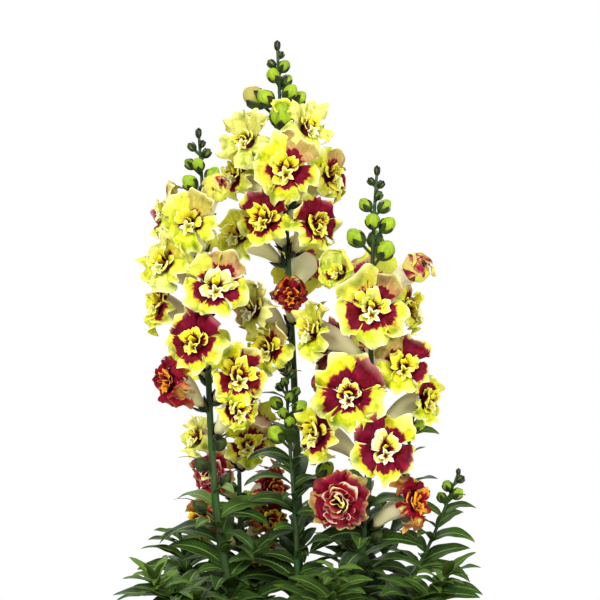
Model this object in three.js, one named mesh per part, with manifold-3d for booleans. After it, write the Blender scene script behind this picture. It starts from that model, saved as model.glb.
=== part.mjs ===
// A double-flowered snapdragon in a plain clay pot. Millimetres, +Z up, origin at the centre of the pot's foot.
// The plant's flowering stems, side shoots and leafy shoots each stand in their own hole in the compost. Every
// bloom is its own closed solid, seated about 0.4 mm clear in the calyx cup at the end of its stalk.
import * as THREE from 'three';
import { mergeVertices } from 'three/addons/utils/BufferGeometryUtils.js';
import Module from 'manifold-3d';

const wasm = await Module();
wasm.setup();

// ---------------------------------------------------------------- pot and compost
const pot = {
  height: 140, footRadius: 55, rimRadius: 82, rimBand: 30, rimProud: 4, wall: 6, floor: 8, sides: 28,
  drainRadius: 5, drainCircle: 30, drainHoles: 3,
};
const soil = { level: 124, gap: 0.4, crown: 3, innerRing: 0.6, rough: 1.2, hole: 0.6 };
const rootDepth = 11;

// ---------------------------------------------------------------- stems
// Each stem runs along a cubic Bezier curve from its root in the compost to its tip.
// thick: radius at the root and at the tip. leaves: count, lowest and highest node, length at each end of that run.
const stems = {
  left: { path: [[-20, -4], [-62, -12, 190], [-48, -14, 332], [-58.5, -12, 464]], thick: [3.1, 0.9],
    leaves: { count: 11, from: 150, to: 230, long: [50, 30], seed: 2 } },
  centre: { path: [[2, 4], [12, 26, 200], [-3, 24, 385], [-8.5, 20, 524]], thick: [3.2, 0.9],
    leaves: { count: 12, from: 150, to: 262, long: [50, 28], seed: 13 } },
  right: { path: [[22, -6], [64, -16, 180], [46, -16, 314], [56, -12, 441]], thick: [3.2, 0.9],
    leaves: { count: 12, from: 148, to: 236, long: [52, 30], seed: 105 } },
  young: { path: [[-2, -14], [14, -24, 190], [-4, -6, 250], [-2, -6, 320]], thick: [2.0, 0.7],
    leaves: { count: 11, from: 160, to: 306, long: [46, 14], seed: 39 } },
  rightSide: { path: [[34, 2], [72, 4, 150], [90, 2, 185], [110, -2, 244]], thick: [1.8, 0.7],
    leaves: { count: 11, from: 150, to: 230, long: [40, 20], seed: 6 } },
  rightBack: { path: [[28, 14], [76, 24, 190], [74, 12, 240], [83, 6, 290]], thick: [1.8, 0.7],
    leaves: { count: 10, from: 158, to: 280, long: [44, 18], seed: 983 } },
  back: { path: [[-8, 24], [-42, 62, 170], [-36, 62, 240], [-33, 60, 296]], thick: [2.3, 0.8],
    leaves: { count: 8, from: 150, to: 212, long: [44, 28], seed: 10 } },
  leftLow: { path: [[-30, -20], [-36, -24, 152], [-66, -40, 158], [-86, -48, 182]], thick: [1.7, 1.0],
    leaves: { count: 13, from: 146, to: 178, long: [52, 18], seed: 16 } },
  leftSide: { path: [[-16, 12], [-36, 20, 150], [-34, 22, 200], [-34, 18, 238]], thick: [1.7, 0.8],
    leaves: { count: 10, from: 150, to: 222, long: [42, 20], seed: 96 } },
  frontLow: { path: [[4, -30], [20, -52, 140], [26, -58, 160], [28, -60, 192]], thick: [1.7, 1.0],
    leaves: { count: 13, from: 144, to: 190, long: [52, 18], seed: 1 } },
  rightLow: { path: [[40, -24], [48, -27, 150], [80, -38, 156], [100, -42, 184]], thick: [1.7, 1.0],
    leaves: { count: 12, from: 146, to: 181, long: [50, 18], seed: 180 } },
  backRight: { path: [[16, 30], [40, 54, 140], [50, 60, 170], [52, 62, 214]], thick: [1.7, 1.0],
    leaves: { count: 11, from: 148, to: 212, long: [48, 20], seed: 1 } },
  backLeft: { path: [[-28, 24], [-60, 40, 140], [-72, 44, 160], [-76, 46, 198]], thick: [1.7, 1.0],
    leaves: { count: 11, from: 146, to: 194, long: [50, 20], seed: 4 } },
};
const stemSides = 5;
const stemStep = 32;

// A leaf's midrib is an arc from rise to tip degrees above the level, each a middle value and a spread. roll turns the
// blade about its midrib, and toLight turns its face to the front.
const leaf = {
  widthShare: 0.31, thick: 1.3, fold: 0.26, rise: [50, 12], tip: [-14, 24], turn: 137.5, sway: 16, roll: 22,
  toLight: 22,
};

// ---------------------------------------------------------------- blooms
// z: height of the face's centre. around: where it stands round its stem, in degrees from the front (-Y) towards +X.
// out: from the stem's axis to the face's centre. look, up: where the face looks. r: radius of the limb.
// open: 1 is flat open, 0.4 is half open. worn: 1 is a withered bloom.
const bloom = (stem, z, around, out, look, up, r, open = 1, worn = 0) => (
  { stem, z, around, out, look, up, r, open, worn });
const blooms = {
  left_1: bloom('left', 413, -112, 27, -78, 20, 18, 0.8),
  left_2: bloom('left', 407, -13, 31, -12, 18, 17.5),
  left_3: bloom('left', 426, 24, 19, 32, 30, 12.5, 0.4),
  left_4: bloom('left', 381, -49, 33, -40, 18, 18),
  left_5: bloom('left', 367, 14, 33, 4, 18, 21),
  left_6: bloom('left', 353, -110, 33, -66, 20, 18),
  left_7: bloom('left', 332, -11, 31, -20, 16, 19.5),
  left_8: bloom('left', 306, -49, 31, -52, 6, 18, 0.75, 1),
  left_9: bloom('left', 310, 41, 31, 14, 14, 18),
  left_10: bloom('left', 289, 39, 30, 26, 4, 14),
  left_11: bloom('left', 398, -158, 30, -160, 20, 19),
  left_12: bloom('left', 322, -166, 31, -168, 20, 20),
  centre_1: bloom('centre', 460, -58, 27, -30, 20, 19, 0.9),
  centre_2: bloom('centre', 468, 45, 25, 36, 24, 18, 0.85),
  centre_3: bloom('centre', 441, 4, 31, 0, 20, 21),
  centre_4: bloom('centre', 437, 88, 31, 52, 18, 18),
  centre_5: bloom('centre', 438, -98, 31, -60, 18, 17),
  centre_6: bloom('centre', 409, -25, 32, -20, 18, 18),
  centre_7: bloom('centre', 405, 38, 32, 38, 16, 18),
  centre_8: bloom('centre', 398, -70, 34, -36, 20, 18),
  centre_9: bloom('centre', 359, 1, 24, -2, 6, 15, 0.6, 1),
  centre_10: bloom('centre', 350, -44, 34, -52, 14, 17),
  centre_11: bloom('centre', 325, -29, 32, -30, 10, 16),
  centre_12: bloom('centre', 424, 175, 31, 178, 22, 20),
  centre_13: bloom('centre', 378, 160, 32, 165, 20, 20),
  right_1: bloom('right', 376, 66, 27, 42, 22, 13, 0.5),
  right_2: bloom('right', 375, -56, 27, -36, 26, 16, 0.65),
  right_3: bloom('right', 353, -2, 33, -2, 18, 23),
  right_4: bloom('right', 351, 118, 28, 76, 18, 17),
  right_5: bloom('right', 337, -78, 38, -62, 18, 18),
  right_6: bloom('right', 316, -122, 33, -104, 18, 19),
  right_7: bloom('right', 317, 37, 32, 6, 14, 18),
  right_8: bloom('right', 299, -26, 33, -12, 14, 24),
  right_9: bloom('right', 292, 92, 36, 54, 8, 12.5, 1),
  right_10: bloom('right', 272, -71, 36, -46, 8, 18.5),
  right_11: bloom('right', 265, 15, 33, 6, 14, 21.5),
  right_12: bloom('right', 230, -35, 32, -12, 10, 18.5, 1, 0.5),
  right_13: bloom('right', 228, 69, 32, 46, 14, 16, 0.8, 1),
  right_14: bloom('right', 366, 178, 31, 180, 20, 20),
  right_15: bloom('right', 318, 172, 31, 176, 18, 20),
  back_1: bloom('back', 259, -81, 30, -52, 20, 14, 0.85),
  back_2: bloom('back', 257, 12, 28, 14, 20, 16),
  back_3: bloom('back', 262, 150, 28, 150, 20, 18),
  back_4: bloom('back', 236, -35, 31, -14, 12, 15, 1, 0.5),
  back_5: bloom('back', 226, 46, 30, 44, 8, 15, 0.9, 1),
};
const tube = { baseRadius: 3.1, midRadius: 6.6, mouthRadius: 9.3, mid: 0.5, seat: 0.5 };
const limb = { thick: 1.6, points: 20, valley: 0.74, shoulder: 0.95, wave: 0.09, uneven: 0.06, crumpled: 0.1 };
const stalk = { length: 5, lift: 45, radius: 1.5, drop: 24 };
const calyx = { radius: 5.6, rise: 4.4, depth: 2.4 };

// ---------------------------------------------------------------- buds and pods
// Buds, and lower down seed pods. Each entry: height of the middle, degrees round the stem, distance out, radius.
const buds = {
  left: [[464, 0, 0, 2.6], [457, 40, 3, 2], [455, -80, 5.2, 2.5], [451, 75, 4.6, 2.7], [444, -85, 7.2, 3.2],
    [443.5, -12, 6.5, 3.9], [437.5, 62, 8.4, 4.5], [432, -52, 9.6, 4.8], [428, 165, 9, 4.8], [264, 62, 7, 4.4],
    [251, -52, 9, 5], [240, 110, 8, 4.2], [223, -82, 11, 4.8]],
  centre: [[523, 0, 0, 2.7], [517, 140, 3.2, 2.2], [511, -100, 4.5, 2.6], [509, 50, 5.5, 3.6],
    [503, -30, 7, 4.3], [500, 130, 6.5, 4], [492, 58, 8.5, 4.8], [486, 104, 13, 5], [485, -64, 11, 5.4],
    [476, 4, 15, 7.6], [486, -100, 17, 7], [471, 172, 13, 5.8]],
  right: [[440, 0, 0, 2.6], [433, -90, 3.4, 2.2], [431, 90, 3.4, 2.2], [424, 30, 4, 2.6], [418, -80, 6.2, 3.9],
    [417, 86, 6.5, 4], [407.5, -8, 8.5, 4.6], [405, 62, 9.8, 4.8], [397, -72, 12, 5.5], [389, 40, 12, 5.9],
    [396, 170, 11, 5.4], [204, 66, 9, 4.6], [198, -100, 8, 4]],
  young: [[320, 0, 0, 1.8], [312, -60, 4, 1.9], [309, 60, 4.5, 2.2], [300, -100, 5, 2.4], [297, 80, 6, 2.8],
    [290, -70, 8, 4.0], [287, 70, 9, 4.4], [278, 10, 7, 3.6], [270, -56, 10, 5.2]],
  rightSide: [[244, 0, 0, 1.7], [239, 90, 3.2, 1.8], [234, -70, 4.2, 2.2], [231, 60, 4.6, 2.4]],
  rightBack: [[290, 0, 0, 1.7], [284, 80, 3.6, 2.0], [281, -70, 3.8, 2.0]],
  back: [[296, 0, 0, 2.2], [288, -70, 5, 3.0], [284, 70, 5, 3.0], [280, 176, 6, 3.4]],
  leftSide: [[238, 0, 0, 1.6], [231, -80, 4.6, 2.6], [225, 76, 5.4, 3.0]],
};
const bud = { sides: 5, stretch: 1.25, neck: 1.2, small: 4.1 };

// ---------------------------------------------------------------- small maths
const radians = Math.PI / 180;
const vec = (x, y, z) => new THREE.Vector3(x, y, z);
const mix = (a, b, t) => a + (b - a) * t;

// A repeatable number from 0 to 1 for a seed and a place in its row.
const draw = (seed, place) => {
  const wide = Math.sin(seed * 12.9898 + place * 78.233) * 43758.5453;
  return wide - Math.floor(wide);
};

const spread = (seed, place) => 2 * draw(seed, place) - 1;

// The level direction at that many degrees round from the front, -Y, towards +X, raised by lift degrees.
const heading = (around, lift = 0) => vec(
  Math.sin(around * radians) * Math.cos(lift * radians),
  -Math.cos(around * radians) * Math.cos(lift * radians),
  Math.sin(lift * radians));

const stemCurve = (stem) => {
  const [root, ...rest] = stem.path;
  return new THREE.CubicBezierCurve3(
    vec(root[0], root[1], soil.level - rootDepth), ...rest.map((p) => vec(...p)));
};

// The curve's parameter at a height, found by halving, since each stem only rises.
const atHeight = (curve, z) => {
  let [low, high] = [0, 1];
  for (let i = 0; i < 30; i++) {
    const middle = (low + high) / 2;
    if (curve.getPoint(middle).z < z) low = middle;
    else high = middle;
  }
  return (low + high) / 2;
};

// ---------------------------------------------------------------- skins: closed surfaces through rings of points
// Rings run counterclockwise seen from the far end. A ring of one point is a pole, and a ring may have half or twice
// the points of the one before it.
function skin(rings) {
  const position = rings.flat().flatMap((p) => [p.x, p.y, p.z]);
  const index = [];
  let start = 0;
  for (let r = 0; r + 1 < rings.length; r++) {
    const [n, m] = [rings[r].length, rings[r + 1].length];
    const a = (i) => start + (i % n);
    const b = (i) => start + n + (i % m);
    for (let i = 0; i < Math.min(n, m) || i < 1; i++) {
      if (n === 1) for (let k = 0; k < m; k++) index.push(a(0), b(k + 1), b(k));
      else if (m === 1) index.push(...Array.from({ length: n }, (_, k) => [a(k), a(k + 1), b(0)]).flat());
      else if (n === m) index.push(a(i), a(i + 1), b(i + 1), a(i), b(i + 1), b(i));
      else if (m === 2 * n) {
        const odd = b(2 * i + 1);
        index.push(a(i), a(i + 1), odd, a(i), odd, b(2 * i), a(i + 1), b(2 * i + 2), odd);
      } else {
        const odd = a(2 * i + 1);
        index.push(a(2 * i), odd, b(i), odd, b(i + 1), b(i), odd, a(2 * i + 2), b(i + 1));
      }
      if (m === 1 || n === 1) break;
    }
    start += n;
  }
  return new THREE.BufferGeometry()
    .setAttribute('position', new THREE.Float32BufferAttribute(position, 3))
    .setIndex(index);
}

// A ring of points round centre in the plane of two unit vectors.
const ring = (centre, right, up, count, radius, first = 0) => Array.from({ length: count }, (_, i) => {
  const angle = (first + (360 * i) / count) * radians;
  return centre.clone().addScaledVector(right, Math.cos(angle) * radius).addScaledVector(up, Math.sin(angle) * radius);
});

// Two unit vectors square to a direction, right-handed with it.
function crossAxes(along, upHint) {
  const up = upHint.clone().addScaledVector(along, -upHint.dot(along)).normalize();
  return { right: up.clone().cross(along), up };
}

// ---------------------------------------------------------------- manifold helpers
function solid(geometry) {
  const bare = geometry.clone();
  bare.deleteAttribute('normal');
  bare.deleteAttribute('uv');
  const merged = mergeVertices(bare, 1e-4);
  return new wasm.Manifold(new wasm.Mesh({
    numProp: 3,
    vertProperties: new Float32Array(merged.attributes.position.array),
    triVerts: new Uint32Array(merged.index.array),
  }));
}

function geometryOf(manifold) {
  const mesh = manifold.getMesh();
  const positions = new Float32Array(mesh.numVert * 3);
  for (let i = 0; i < mesh.numVert; i++) {
    positions.set(mesh.vertProperties.subarray(i * mesh.numProp, i * mesh.numProp + 3), i * 3);
  }
  return new THREE.BufferGeometry()
    .setAttribute('position', new THREE.BufferAttribute(positions, 3))
    .setIndex(new THREE.BufferAttribute(new Uint32Array(mesh.triVerts), 1));
}

// Joins solids into one and drops the short edges that this leaves.
const join = (pieces) => wasm.Manifold.union(pieces).asOriginal().simplify(0.1);

// ---------------------------------------------------------------- pot and compost solids
const wallInside = (z) => mix(pot.footRadius, pot.rimRadius - pot.rimProud, z / pot.height) - pot.wall;

function potSolid() {
  const { height, footRadius, rimRadius, rimBand, rimProud, wall, floor, sides } = pot;
  const under = height - rimBand;
  const bodyRadius = mix(footRadius, rimRadius - rimProud, under / height);
  const profile = [
    [0, 0], [footRadius, 0], [bodyRadius, under], [rimRadius - 1.5, under + 1.5], [rimRadius, height - 2],
    [rimRadius - 2, height], [wallInside(height), height], [wallInside(floor), floor], [0, floor],
  ].map(([x, y]) => new THREE.Vector2(x, y));
  const body = solid(new THREE.LatheGeometry(profile, sides).rotateX(Math.PI / 2));
  const holes = Array.from({ length: pot.drainHoles }, (_, i) => {
    const centre = heading((360 * i) / pot.drainHoles).multiplyScalar(pot.drainCircle);
    const shape = new THREE.CylinderGeometry(pot.drainRadius, pot.drainRadius, floor * 3, 10);
    return solid(shape.rotateX(Math.PI / 2).translate(centre.x, centre.y, 0));
  });
  return body.subtract(wasm.Manifold.union(holes));
}

// The compost's top is slightly domed and uneven.
function soilSolid(rootHoles) {
  const bottom = pot.floor + soil.gap;
  const edge = soil.level - 1;
  const crown = soil.crown * (1 - soil.innerRing ** 2);
  const circle = (z, share = 1, sides = pot.sides) => ring(
    vec(0, 0, z), vec(1, 0, 0), vec(0, 1, 0), sides, (wallInside(z) - soil.gap) * share);
  const inner = circle(soil.level + crown, soil.innerRing, pot.sides / 2);
  inner.forEach((p, i) => p.setZ(p.z + spread(2, i) * soil.rough));
  const rings = [[vec(0, 0, bottom)], circle(bottom), circle(edge), inner, [vec(0, 0, soil.level + soil.crown)]];
  return solid(skin(rings)).subtract(wasm.Manifold.union(rootHoles));
}

// ---------------------------------------------------------------- stems, leaves, stalks, calyces, buds
// The stem's foot is straight, from its root to just above the compost, and curves from there.
const footTop = soil.level + 8;

function stemRing(stem, curve, t, extra = 0) {
  const { right, up } = crossAxes(curve.getTangent(t), vec(0, 1, 0));
  return ring(curve.getPoint(t), right, up, stemSides, mix(...stem.thick, t ** 1.3) + extra);
}

function stemGeometry(stem) {
  const curve = stemCurve(stem);
  const first = atHeight(curve, footTop);
  const steps = Math.max(6, Math.round(curve.getLength() / stemStep));
  const places = Array.from({ length: steps + 1 }, (_, i) => mix(first, 1, i / steps));
  const rings = [0, ...places].map((t) => stemRing(stem, curve, t));
  return skin([[curve.getPoint(0)], ...rings, [curve.getPoint(1)]]);
}

// The plain hole that a stem's foot stands in.
function rootHoleGeometry(stem) {
  const curve = stemCurve(stem);
  const top = atHeight(curve, footTop);
  const under = vec(0, 0, -soil.gap);
  return skin([
    [curve.getPoint(0).add(under)],
    stemRing(stem, curve, 0, soil.hole).map((p) => p.add(under)),
    stemRing(stem, curve, top, soil.hole),
    [curve.getPoint(top)],
  ]);
}

// Where leaf number i of a stem stands, and its shape.
function leafPlan(stem, i) {
  const { count, from, to, long, seed } = stem.leaves;
  const share = count > 1 ? i / (count - 1) : 0;
  return {
    z: mix(from, to, share),
    around: seed * 40 + i * leaf.turn + spread(seed, i) * leaf.sway,
    length: mix(long[0], long[1], share ** 1.4) * mix(0.88, 1.08, draw(seed, i + 40)),
    lift: leaf.rise[0] + spread(seed, i + 80) * leaf.rise[1],
    tip: leaf.tip[0] + spread(seed, i + 120) * leaf.tip[1],
    roll: spread(seed, i + 160) * leaf.roll,
  };
}

// A folded lance-shaped blade: each section is a chevron with its edges raised above the midrib.
function leafGeometry(start, plan) {
  const { around, length, lift, tip } = plan;
  const level = heading(around);
  const roll = (plan.roll + leaf.toLight * Math.sin(around * radians)) * radians;
  const bend = (tip - lift) * radians;
  const halfWidth = length * leaf.widthShare / 2;
  const sections = [[0.32, 0.95], [0.68, 0.84]];
  const place = (s) => {
    const e = lift * radians + bend * s;
    const point = start.clone()
      .addScaledVector(level, length * (Math.sin(e) - Math.sin(lift * radians)) / bend)
      .addScaledVector(vec(0, 0, 1), -length * (Math.cos(e) - Math.cos(lift * radians)) / bend);
    const along = level.clone().multiplyScalar(Math.cos(e)).add(vec(0, 0, Math.sin(e)));
    const normal = level.clone().multiplyScalar(-Math.sin(e)).add(vec(0, 0, Math.cos(e))).applyAxisAngle(along, roll);
    return { point, normal, side: normal.clone().cross(along) };
  };
  const rings = sections.map(([s, wide]) => {
    const { point, normal, side } = place(s);
    const w = halfWidth * wide;
    return [
      point.clone().addScaledVector(side, w).addScaledVector(normal, w * leaf.fold),
      point.clone().addScaledVector(normal, leaf.thick * 0.35),
      point.clone().addScaledVector(side, -w).addScaledVector(normal, w * leaf.fold),
      point.clone().addScaledVector(normal, -leaf.thick * 0.65),
    ];
  });
  return skin([[start.clone().addScaledVector(level, -0.4)], ...rings, [place(1).point]]);
}

// Where a bloom's stalk, tube and face are: the stalk leaves the stem drop below the face's centre.
function bloomPlan(b) {
  const curve = stemCurve(stems[b.stem]);
  const t = atHeight(curve, b.z - stalk.drop);
  const root = curve.getPoint(t);
  const away = heading(b.around, stalk.lift);
  const stemRadius = mix(...stems[b.stem].thick, t ** 1.3);
  const base = root.clone().addScaledVector(away, stemRadius + stalk.length);
  const centreAxis = curve.getPoint(atHeight(curve, b.z));
  const face = centreAxis.addScaledVector(heading(b.around), b.out);
  const normal = heading(b.look, b.up);
  const { right, up } = crossAxes(normal, vec(0, 0, 1));
  return { root, away, base, face, normal, right, up };
}

function stalkGeometry(b) {
  const { root, away, base } = bloomPlan(b);
  const { right, up } = crossAxes(away, vec(0, 0, 1));
  const neck = base.clone().addScaledVector(away, -calyx.depth);
  return skin([
    [root.clone()],
    ring(neck, right, up, 5, stalk.radius),
    ring(base.clone().addScaledVector(away, calyx.rise), right, up, 5, calyx.radius),
    [base.clone()],
  ]);
}

function budGeometry(stem, [z, around, out, radius]) {
  const curve = stemCurve(stem);
  const middle = curve.getPoint(atHeight(curve, Math.min(z, stem.path[3][2] - 0.1)));
  if (out === 0) {
    const half = radius * bud.stretch;
    const { right, up } = crossAxes(vec(0, 0, 1), vec(0, 1, 0));
    return skin([
      [middle.clone().setZ(z - half)],
      ring(middle.clone().setZ(z), right, up, bud.sides, radius),
      [middle.clone().setZ(z + half)],
    ]);
  }
  middle.addScaledVector(heading(around), out);
  const root = curve.getPoint(atHeight(curve, z - out * 0.9 - 1));
  const away = middle.clone().sub(root).normalize();
  const { right, up } = crossAxes(away, vec(0, 0, 1));
  const half = radius * bud.stretch;
  const at = (k) => middle.clone().addScaledVector(away, half * k);
  const neck = radius > bud.small ? [ring(at(-0.95), right, up, bud.sides, bud.neck)] : [];
  return skin([
    [root],
    ...neck,
    ring(at(-0.3), right, up, bud.sides, radius),
    ring(at(0.45), right, up, bud.sides, radius * 0.84),
    [at(1)],
  ]);
}

// ---------------------------------------------------------------- blooms
// From 0, a limb still folded forward over the mouth, to 1, one that lies flat.
const opening = (b) => Math.min(1, (b.open - 0.3) / 0.6);

// The outline of the limb: five lobes with a notch at the top and between each two, the upper two the widest.
function limbRing(b, plan, lift) {
  const opened = mix(0.42, 1, opening(b));
  const forward = mix(0.62, 0.04, opening(b)) * b.r;
  return Array.from({ length: limb.points }, (_, k) => {
    const inLobe = k % 4;
    const lobe = Math.floor(k / 4);
    const upper = lobe === 0 || lobe === 4;
    const reach = (inLobe === 0 ? limb.valley : inLobe === 2 ? 1 : limb.shoulder) * (upper ? 1.03 : 0.94);
    const wave = (inLobe === 0 ? -1.2 : inLobe === 2 ? -0.3 : k % 8 < 4 ? 1 : -0.6) * limb.wave;
    const crumple = spread(b.z, k) * mix(limb.uneven, limb.crumpled, b.worn);
    const radius = b.r * opened * (reach + crumple);
    const angle = (90 + 18 * k) * radians;
    return plan.face.clone()
      .addScaledVector(plan.right, Math.cos(angle) * radius)
      .addScaledVector(plan.up, Math.sin(angle) * radius)
      .addScaledVector(plan.normal, forward + (wave + crumple) * b.r + lift);
  });
}

function bloomGeometry(b) {
  const plan = bloomPlan(b);
  const { base, away, face, normal, right, up } = plan;
  const mouthScale = mix(0.7, 1, Math.min(1, b.r / 20)) * mix(0.8, 1, b.open);
  const handle = face.distanceTo(base) * 0.4;
  const axis = new THREE.CubicBezierCurve3(
    base, base.clone().addScaledVector(away, handle), face.clone().addScaledVector(normal, -handle), face);
  const tubeRing = (t, radius) => {
    const axes = crossAxes(axis.getTangent(t), up);
    return ring(axis.getPoint(t), axes.right, axes.up, 10, radius, 90);
  };
  const faceRing = (radius, height, first = 90) => ring(
    face.clone().addScaledVector(normal, height), right, up, 10, radius, first);
  const crown = mouthScale * mix(0.3, 1, opening(b));
  const zigzag = (radii, heights) => faceRing(1, 0).map((p, i) => p.sub(face)
    .multiplyScalar(radii[i % 2] * crown).add(face).addScaledVector(normal, heights[i % 2] * crown));
  const mouth = tube.mouthRadius * mouthScale;
  const seat = base.clone().addScaledVector(away, tube.seat);
  return skin([
    [seat],
    tubeRing(4.2 / face.distanceTo(base), tube.baseRadius),
    tubeRing(tube.mid, tube.midRadius * mouthScale),
    faceRing(mouth, 0),
    limbRing(b, plan, 0.4),
    faceRing(mouth * mix(0.55, 0.97, opening(b)), limb.thick),
    zigzag([5.2, 8.6], [4.6, 6.6]),
    zigzag([4.6, 2.4], [8.6, 4.6]),
    [face.clone().addScaledVector(normal, 4.2 * crown)],
  ]);
}

// ---------------------------------------------------------------- materials
const finish = (color, roughness) => new THREE.MeshStandardMaterial({ color, roughness, metalness: 0 });
const materials = {
  clay: finish(0xb5653c, 0.85),
  compost: finish(0x3a2a1e, 0.95),
  green: finish(0x3b6427, 0.55),
  yellow: finish(0xe9df2c, 0.5),
  crimson: finish(0x9c1c38, 0.6),
};

// ---------------------------------------------------------------- assembly
const plant = new THREE.Group();
plant.name = 'snapdragon_plant';
const add = (name, geometry, material) => {
  const mesh = new THREE.Mesh(geometry, material);
  mesh.name = name;
  plant.add(mesh);
};

const nodeName = (key) => `stem_${key.replace(/[A-Z]/g, (c) => `_${c.toLowerCase()}`)}`;
const rootHoles = [];

for (const [key, stem] of Object.entries(stems)) {
  const curve = stemCurve(stem);
  const pieces = [solid(stemGeometry(stem))];
  for (let i = 0; i < stem.leaves.count; i++) {
    const plan = leafPlan(stem, i);
    pieces.push(solid(leafGeometry(curve.getPoint(atHeight(curve, plan.z)), plan)));
  }
  for (const b of Object.values(blooms)) if (b.stem === key) pieces.push(solid(stalkGeometry(b)));
  for (const entry of buds[key] ?? []) pieces.push(solid(budGeometry(stem, entry)));
  add(nodeName(key), geometryOf(join(pieces)), materials.green);
  rootHoles.push(solid(rootHoleGeometry(stem)));
}
for (const [key, b] of Object.entries(blooms)) {
  add(`bloom_${key}`, bloomGeometry(b), b.worn ? materials.crimson : materials.yellow);
}
add('pot', geometryOf(potSolid()), materials.clay);
add('compost', geometryOf(soilSolid(rootHoles)), materials.compost);

export default plant;
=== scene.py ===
# A double snapdragon in a clay pot, dressed on its fixed frame.
import math

import bpy
import numpy as np
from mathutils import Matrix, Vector


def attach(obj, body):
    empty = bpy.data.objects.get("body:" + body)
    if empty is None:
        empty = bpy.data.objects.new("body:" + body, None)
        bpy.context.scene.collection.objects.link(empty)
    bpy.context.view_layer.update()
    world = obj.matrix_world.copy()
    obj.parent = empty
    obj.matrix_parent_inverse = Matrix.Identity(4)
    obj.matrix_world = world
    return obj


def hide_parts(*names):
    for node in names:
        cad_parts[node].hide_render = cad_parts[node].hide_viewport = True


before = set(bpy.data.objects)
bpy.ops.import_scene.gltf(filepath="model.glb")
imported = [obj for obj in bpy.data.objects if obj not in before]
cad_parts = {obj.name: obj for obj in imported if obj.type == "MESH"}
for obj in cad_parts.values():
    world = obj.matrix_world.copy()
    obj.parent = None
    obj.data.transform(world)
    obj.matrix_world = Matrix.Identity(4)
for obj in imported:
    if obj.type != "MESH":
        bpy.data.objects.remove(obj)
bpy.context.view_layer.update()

print("frame loaded with", len(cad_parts), "nodes")

# Lengths below are millimetres, as in the frame's source; a mesh gets metres when it is made.
mm = 0.001
shot = {"place": (6.5, -1100, 410), "target": (6.5, 0, 356), "lens": 101.5, "sensor": 36, "farthest": 50}
studio = {
    "below": 0.38, "above": 0.78, "surround": 1.0, "lampTarget": (0, 0, 300),
    "floor": (240, 240, 238), "floorRadius": 640, "floorDrop": 0.02,
    "lamps": [  # place, size, watts
        ((-420, -980, 940), 360, 13.6),
        ((900, -900, 600), 700, 11.0),
        ((-300, 900, 1000), 600, 9.0),
    ],
}
right3, side3, up3 = np.eye(3)


def unit(v):
    return v / np.linalg.norm(v, axis=-1, keepdims=True)


def mix(a, b, t):
    return a + (b - a) * t


# 3t^2 - 2t^3, where t runs from 0 at low to 1 at high
def ease(low, high, x):
    t = np.clip((x - low) / (high - low), 0, 1)
    return t * t * (3 - 2 * t)


# a repeatable number from 0 to 1: the fraction of sin(12.9898 seed + 78.233 place) times 43758.5453
def draw(seed, place):
    wide = np.sin(seed * 12.9898 + place * 78.233) * 43758.5453
    return wide - np.floor(wide)


def spread(seed, place):
    return 2 * draw(seed, place) - 1


# the level direction that many degrees round from -Y towards +X, raised by lift degrees
def heading(around, lift=0.0):
    a, b = math.radians(around), math.radians(lift)
    return np.array([math.sin(a) * math.cos(b), -math.cos(a) * math.cos(b), math.sin(b)])


# (1-t)^3 p0 + 3 (1-t)^2 t p1 + 3 (1-t) t^2 p2 + t^3 p3 for each t
def bezier(p, t):
    t = np.atleast_1d(t)[:, None]
    return (1 - t) ** 3 * p[0] + 3 * (1 - t) ** 2 * t * p[1] + 3 * (1 - t) * t ** 2 * p[2] + t ** 3 * p[3]


def bezierAlong(p, t):
    t = np.atleast_1d(t)[:, None]
    return unit((1 - t) ** 2 * (p[1] - p[0]) + 2 * (1 - t) * t * (p[2] - p[1]) + t ** 2 * (p[3] - p[2]))


def atHeight(p, z):
    t = np.linspace(0, 1, 2000)
    return float(np.interp(z, bezier(p, t)[:, 2], t))


def onPath(p, z):
    return bezier(p, atHeight(p, z))[0]


# up is the hint without its part along the direction, and right is up x along
def crossAxes(along, hint):
    up = unit(hint - along * np.sum(hint * along, -1, keepdims=True))
    return np.cross(up, along), up


# even angles once round, in radians
def turns(sides, first=0.0):
    return np.radians(first) + np.arange(sides) * 2 * np.pi / sides


# circles of points round each centre: centre + radius (right cos a + up sin a), radius (n,) or (n, sides)
def rings(centre, right, up, radius, sides, first=0.0):
    a = turns(sides, first)
    radius = np.asarray(radius, float)
    radius = radius[:, None] if radius.ndim == 1 else radius
    right, up = np.broadcast_to(right, centre.shape), np.broadcast_to(up, centre.shape)
    return (centre[:, None] + right[:, None] * (np.cos(a) * radius)[..., None]
            + up[:, None] * (np.sin(a) * radius)[..., None])


# two or three values side by side, over the grid that they share
def vectors(first, second, third=0.0):
    return np.stack(np.broadcast_arrays(first, second, third), -1).astype(float)


def addToScene(name, data):
    thing = bpy.data.objects.new(name, data)
    bpy.context.scene.collection.objects.link(thing)
    return thing


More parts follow.
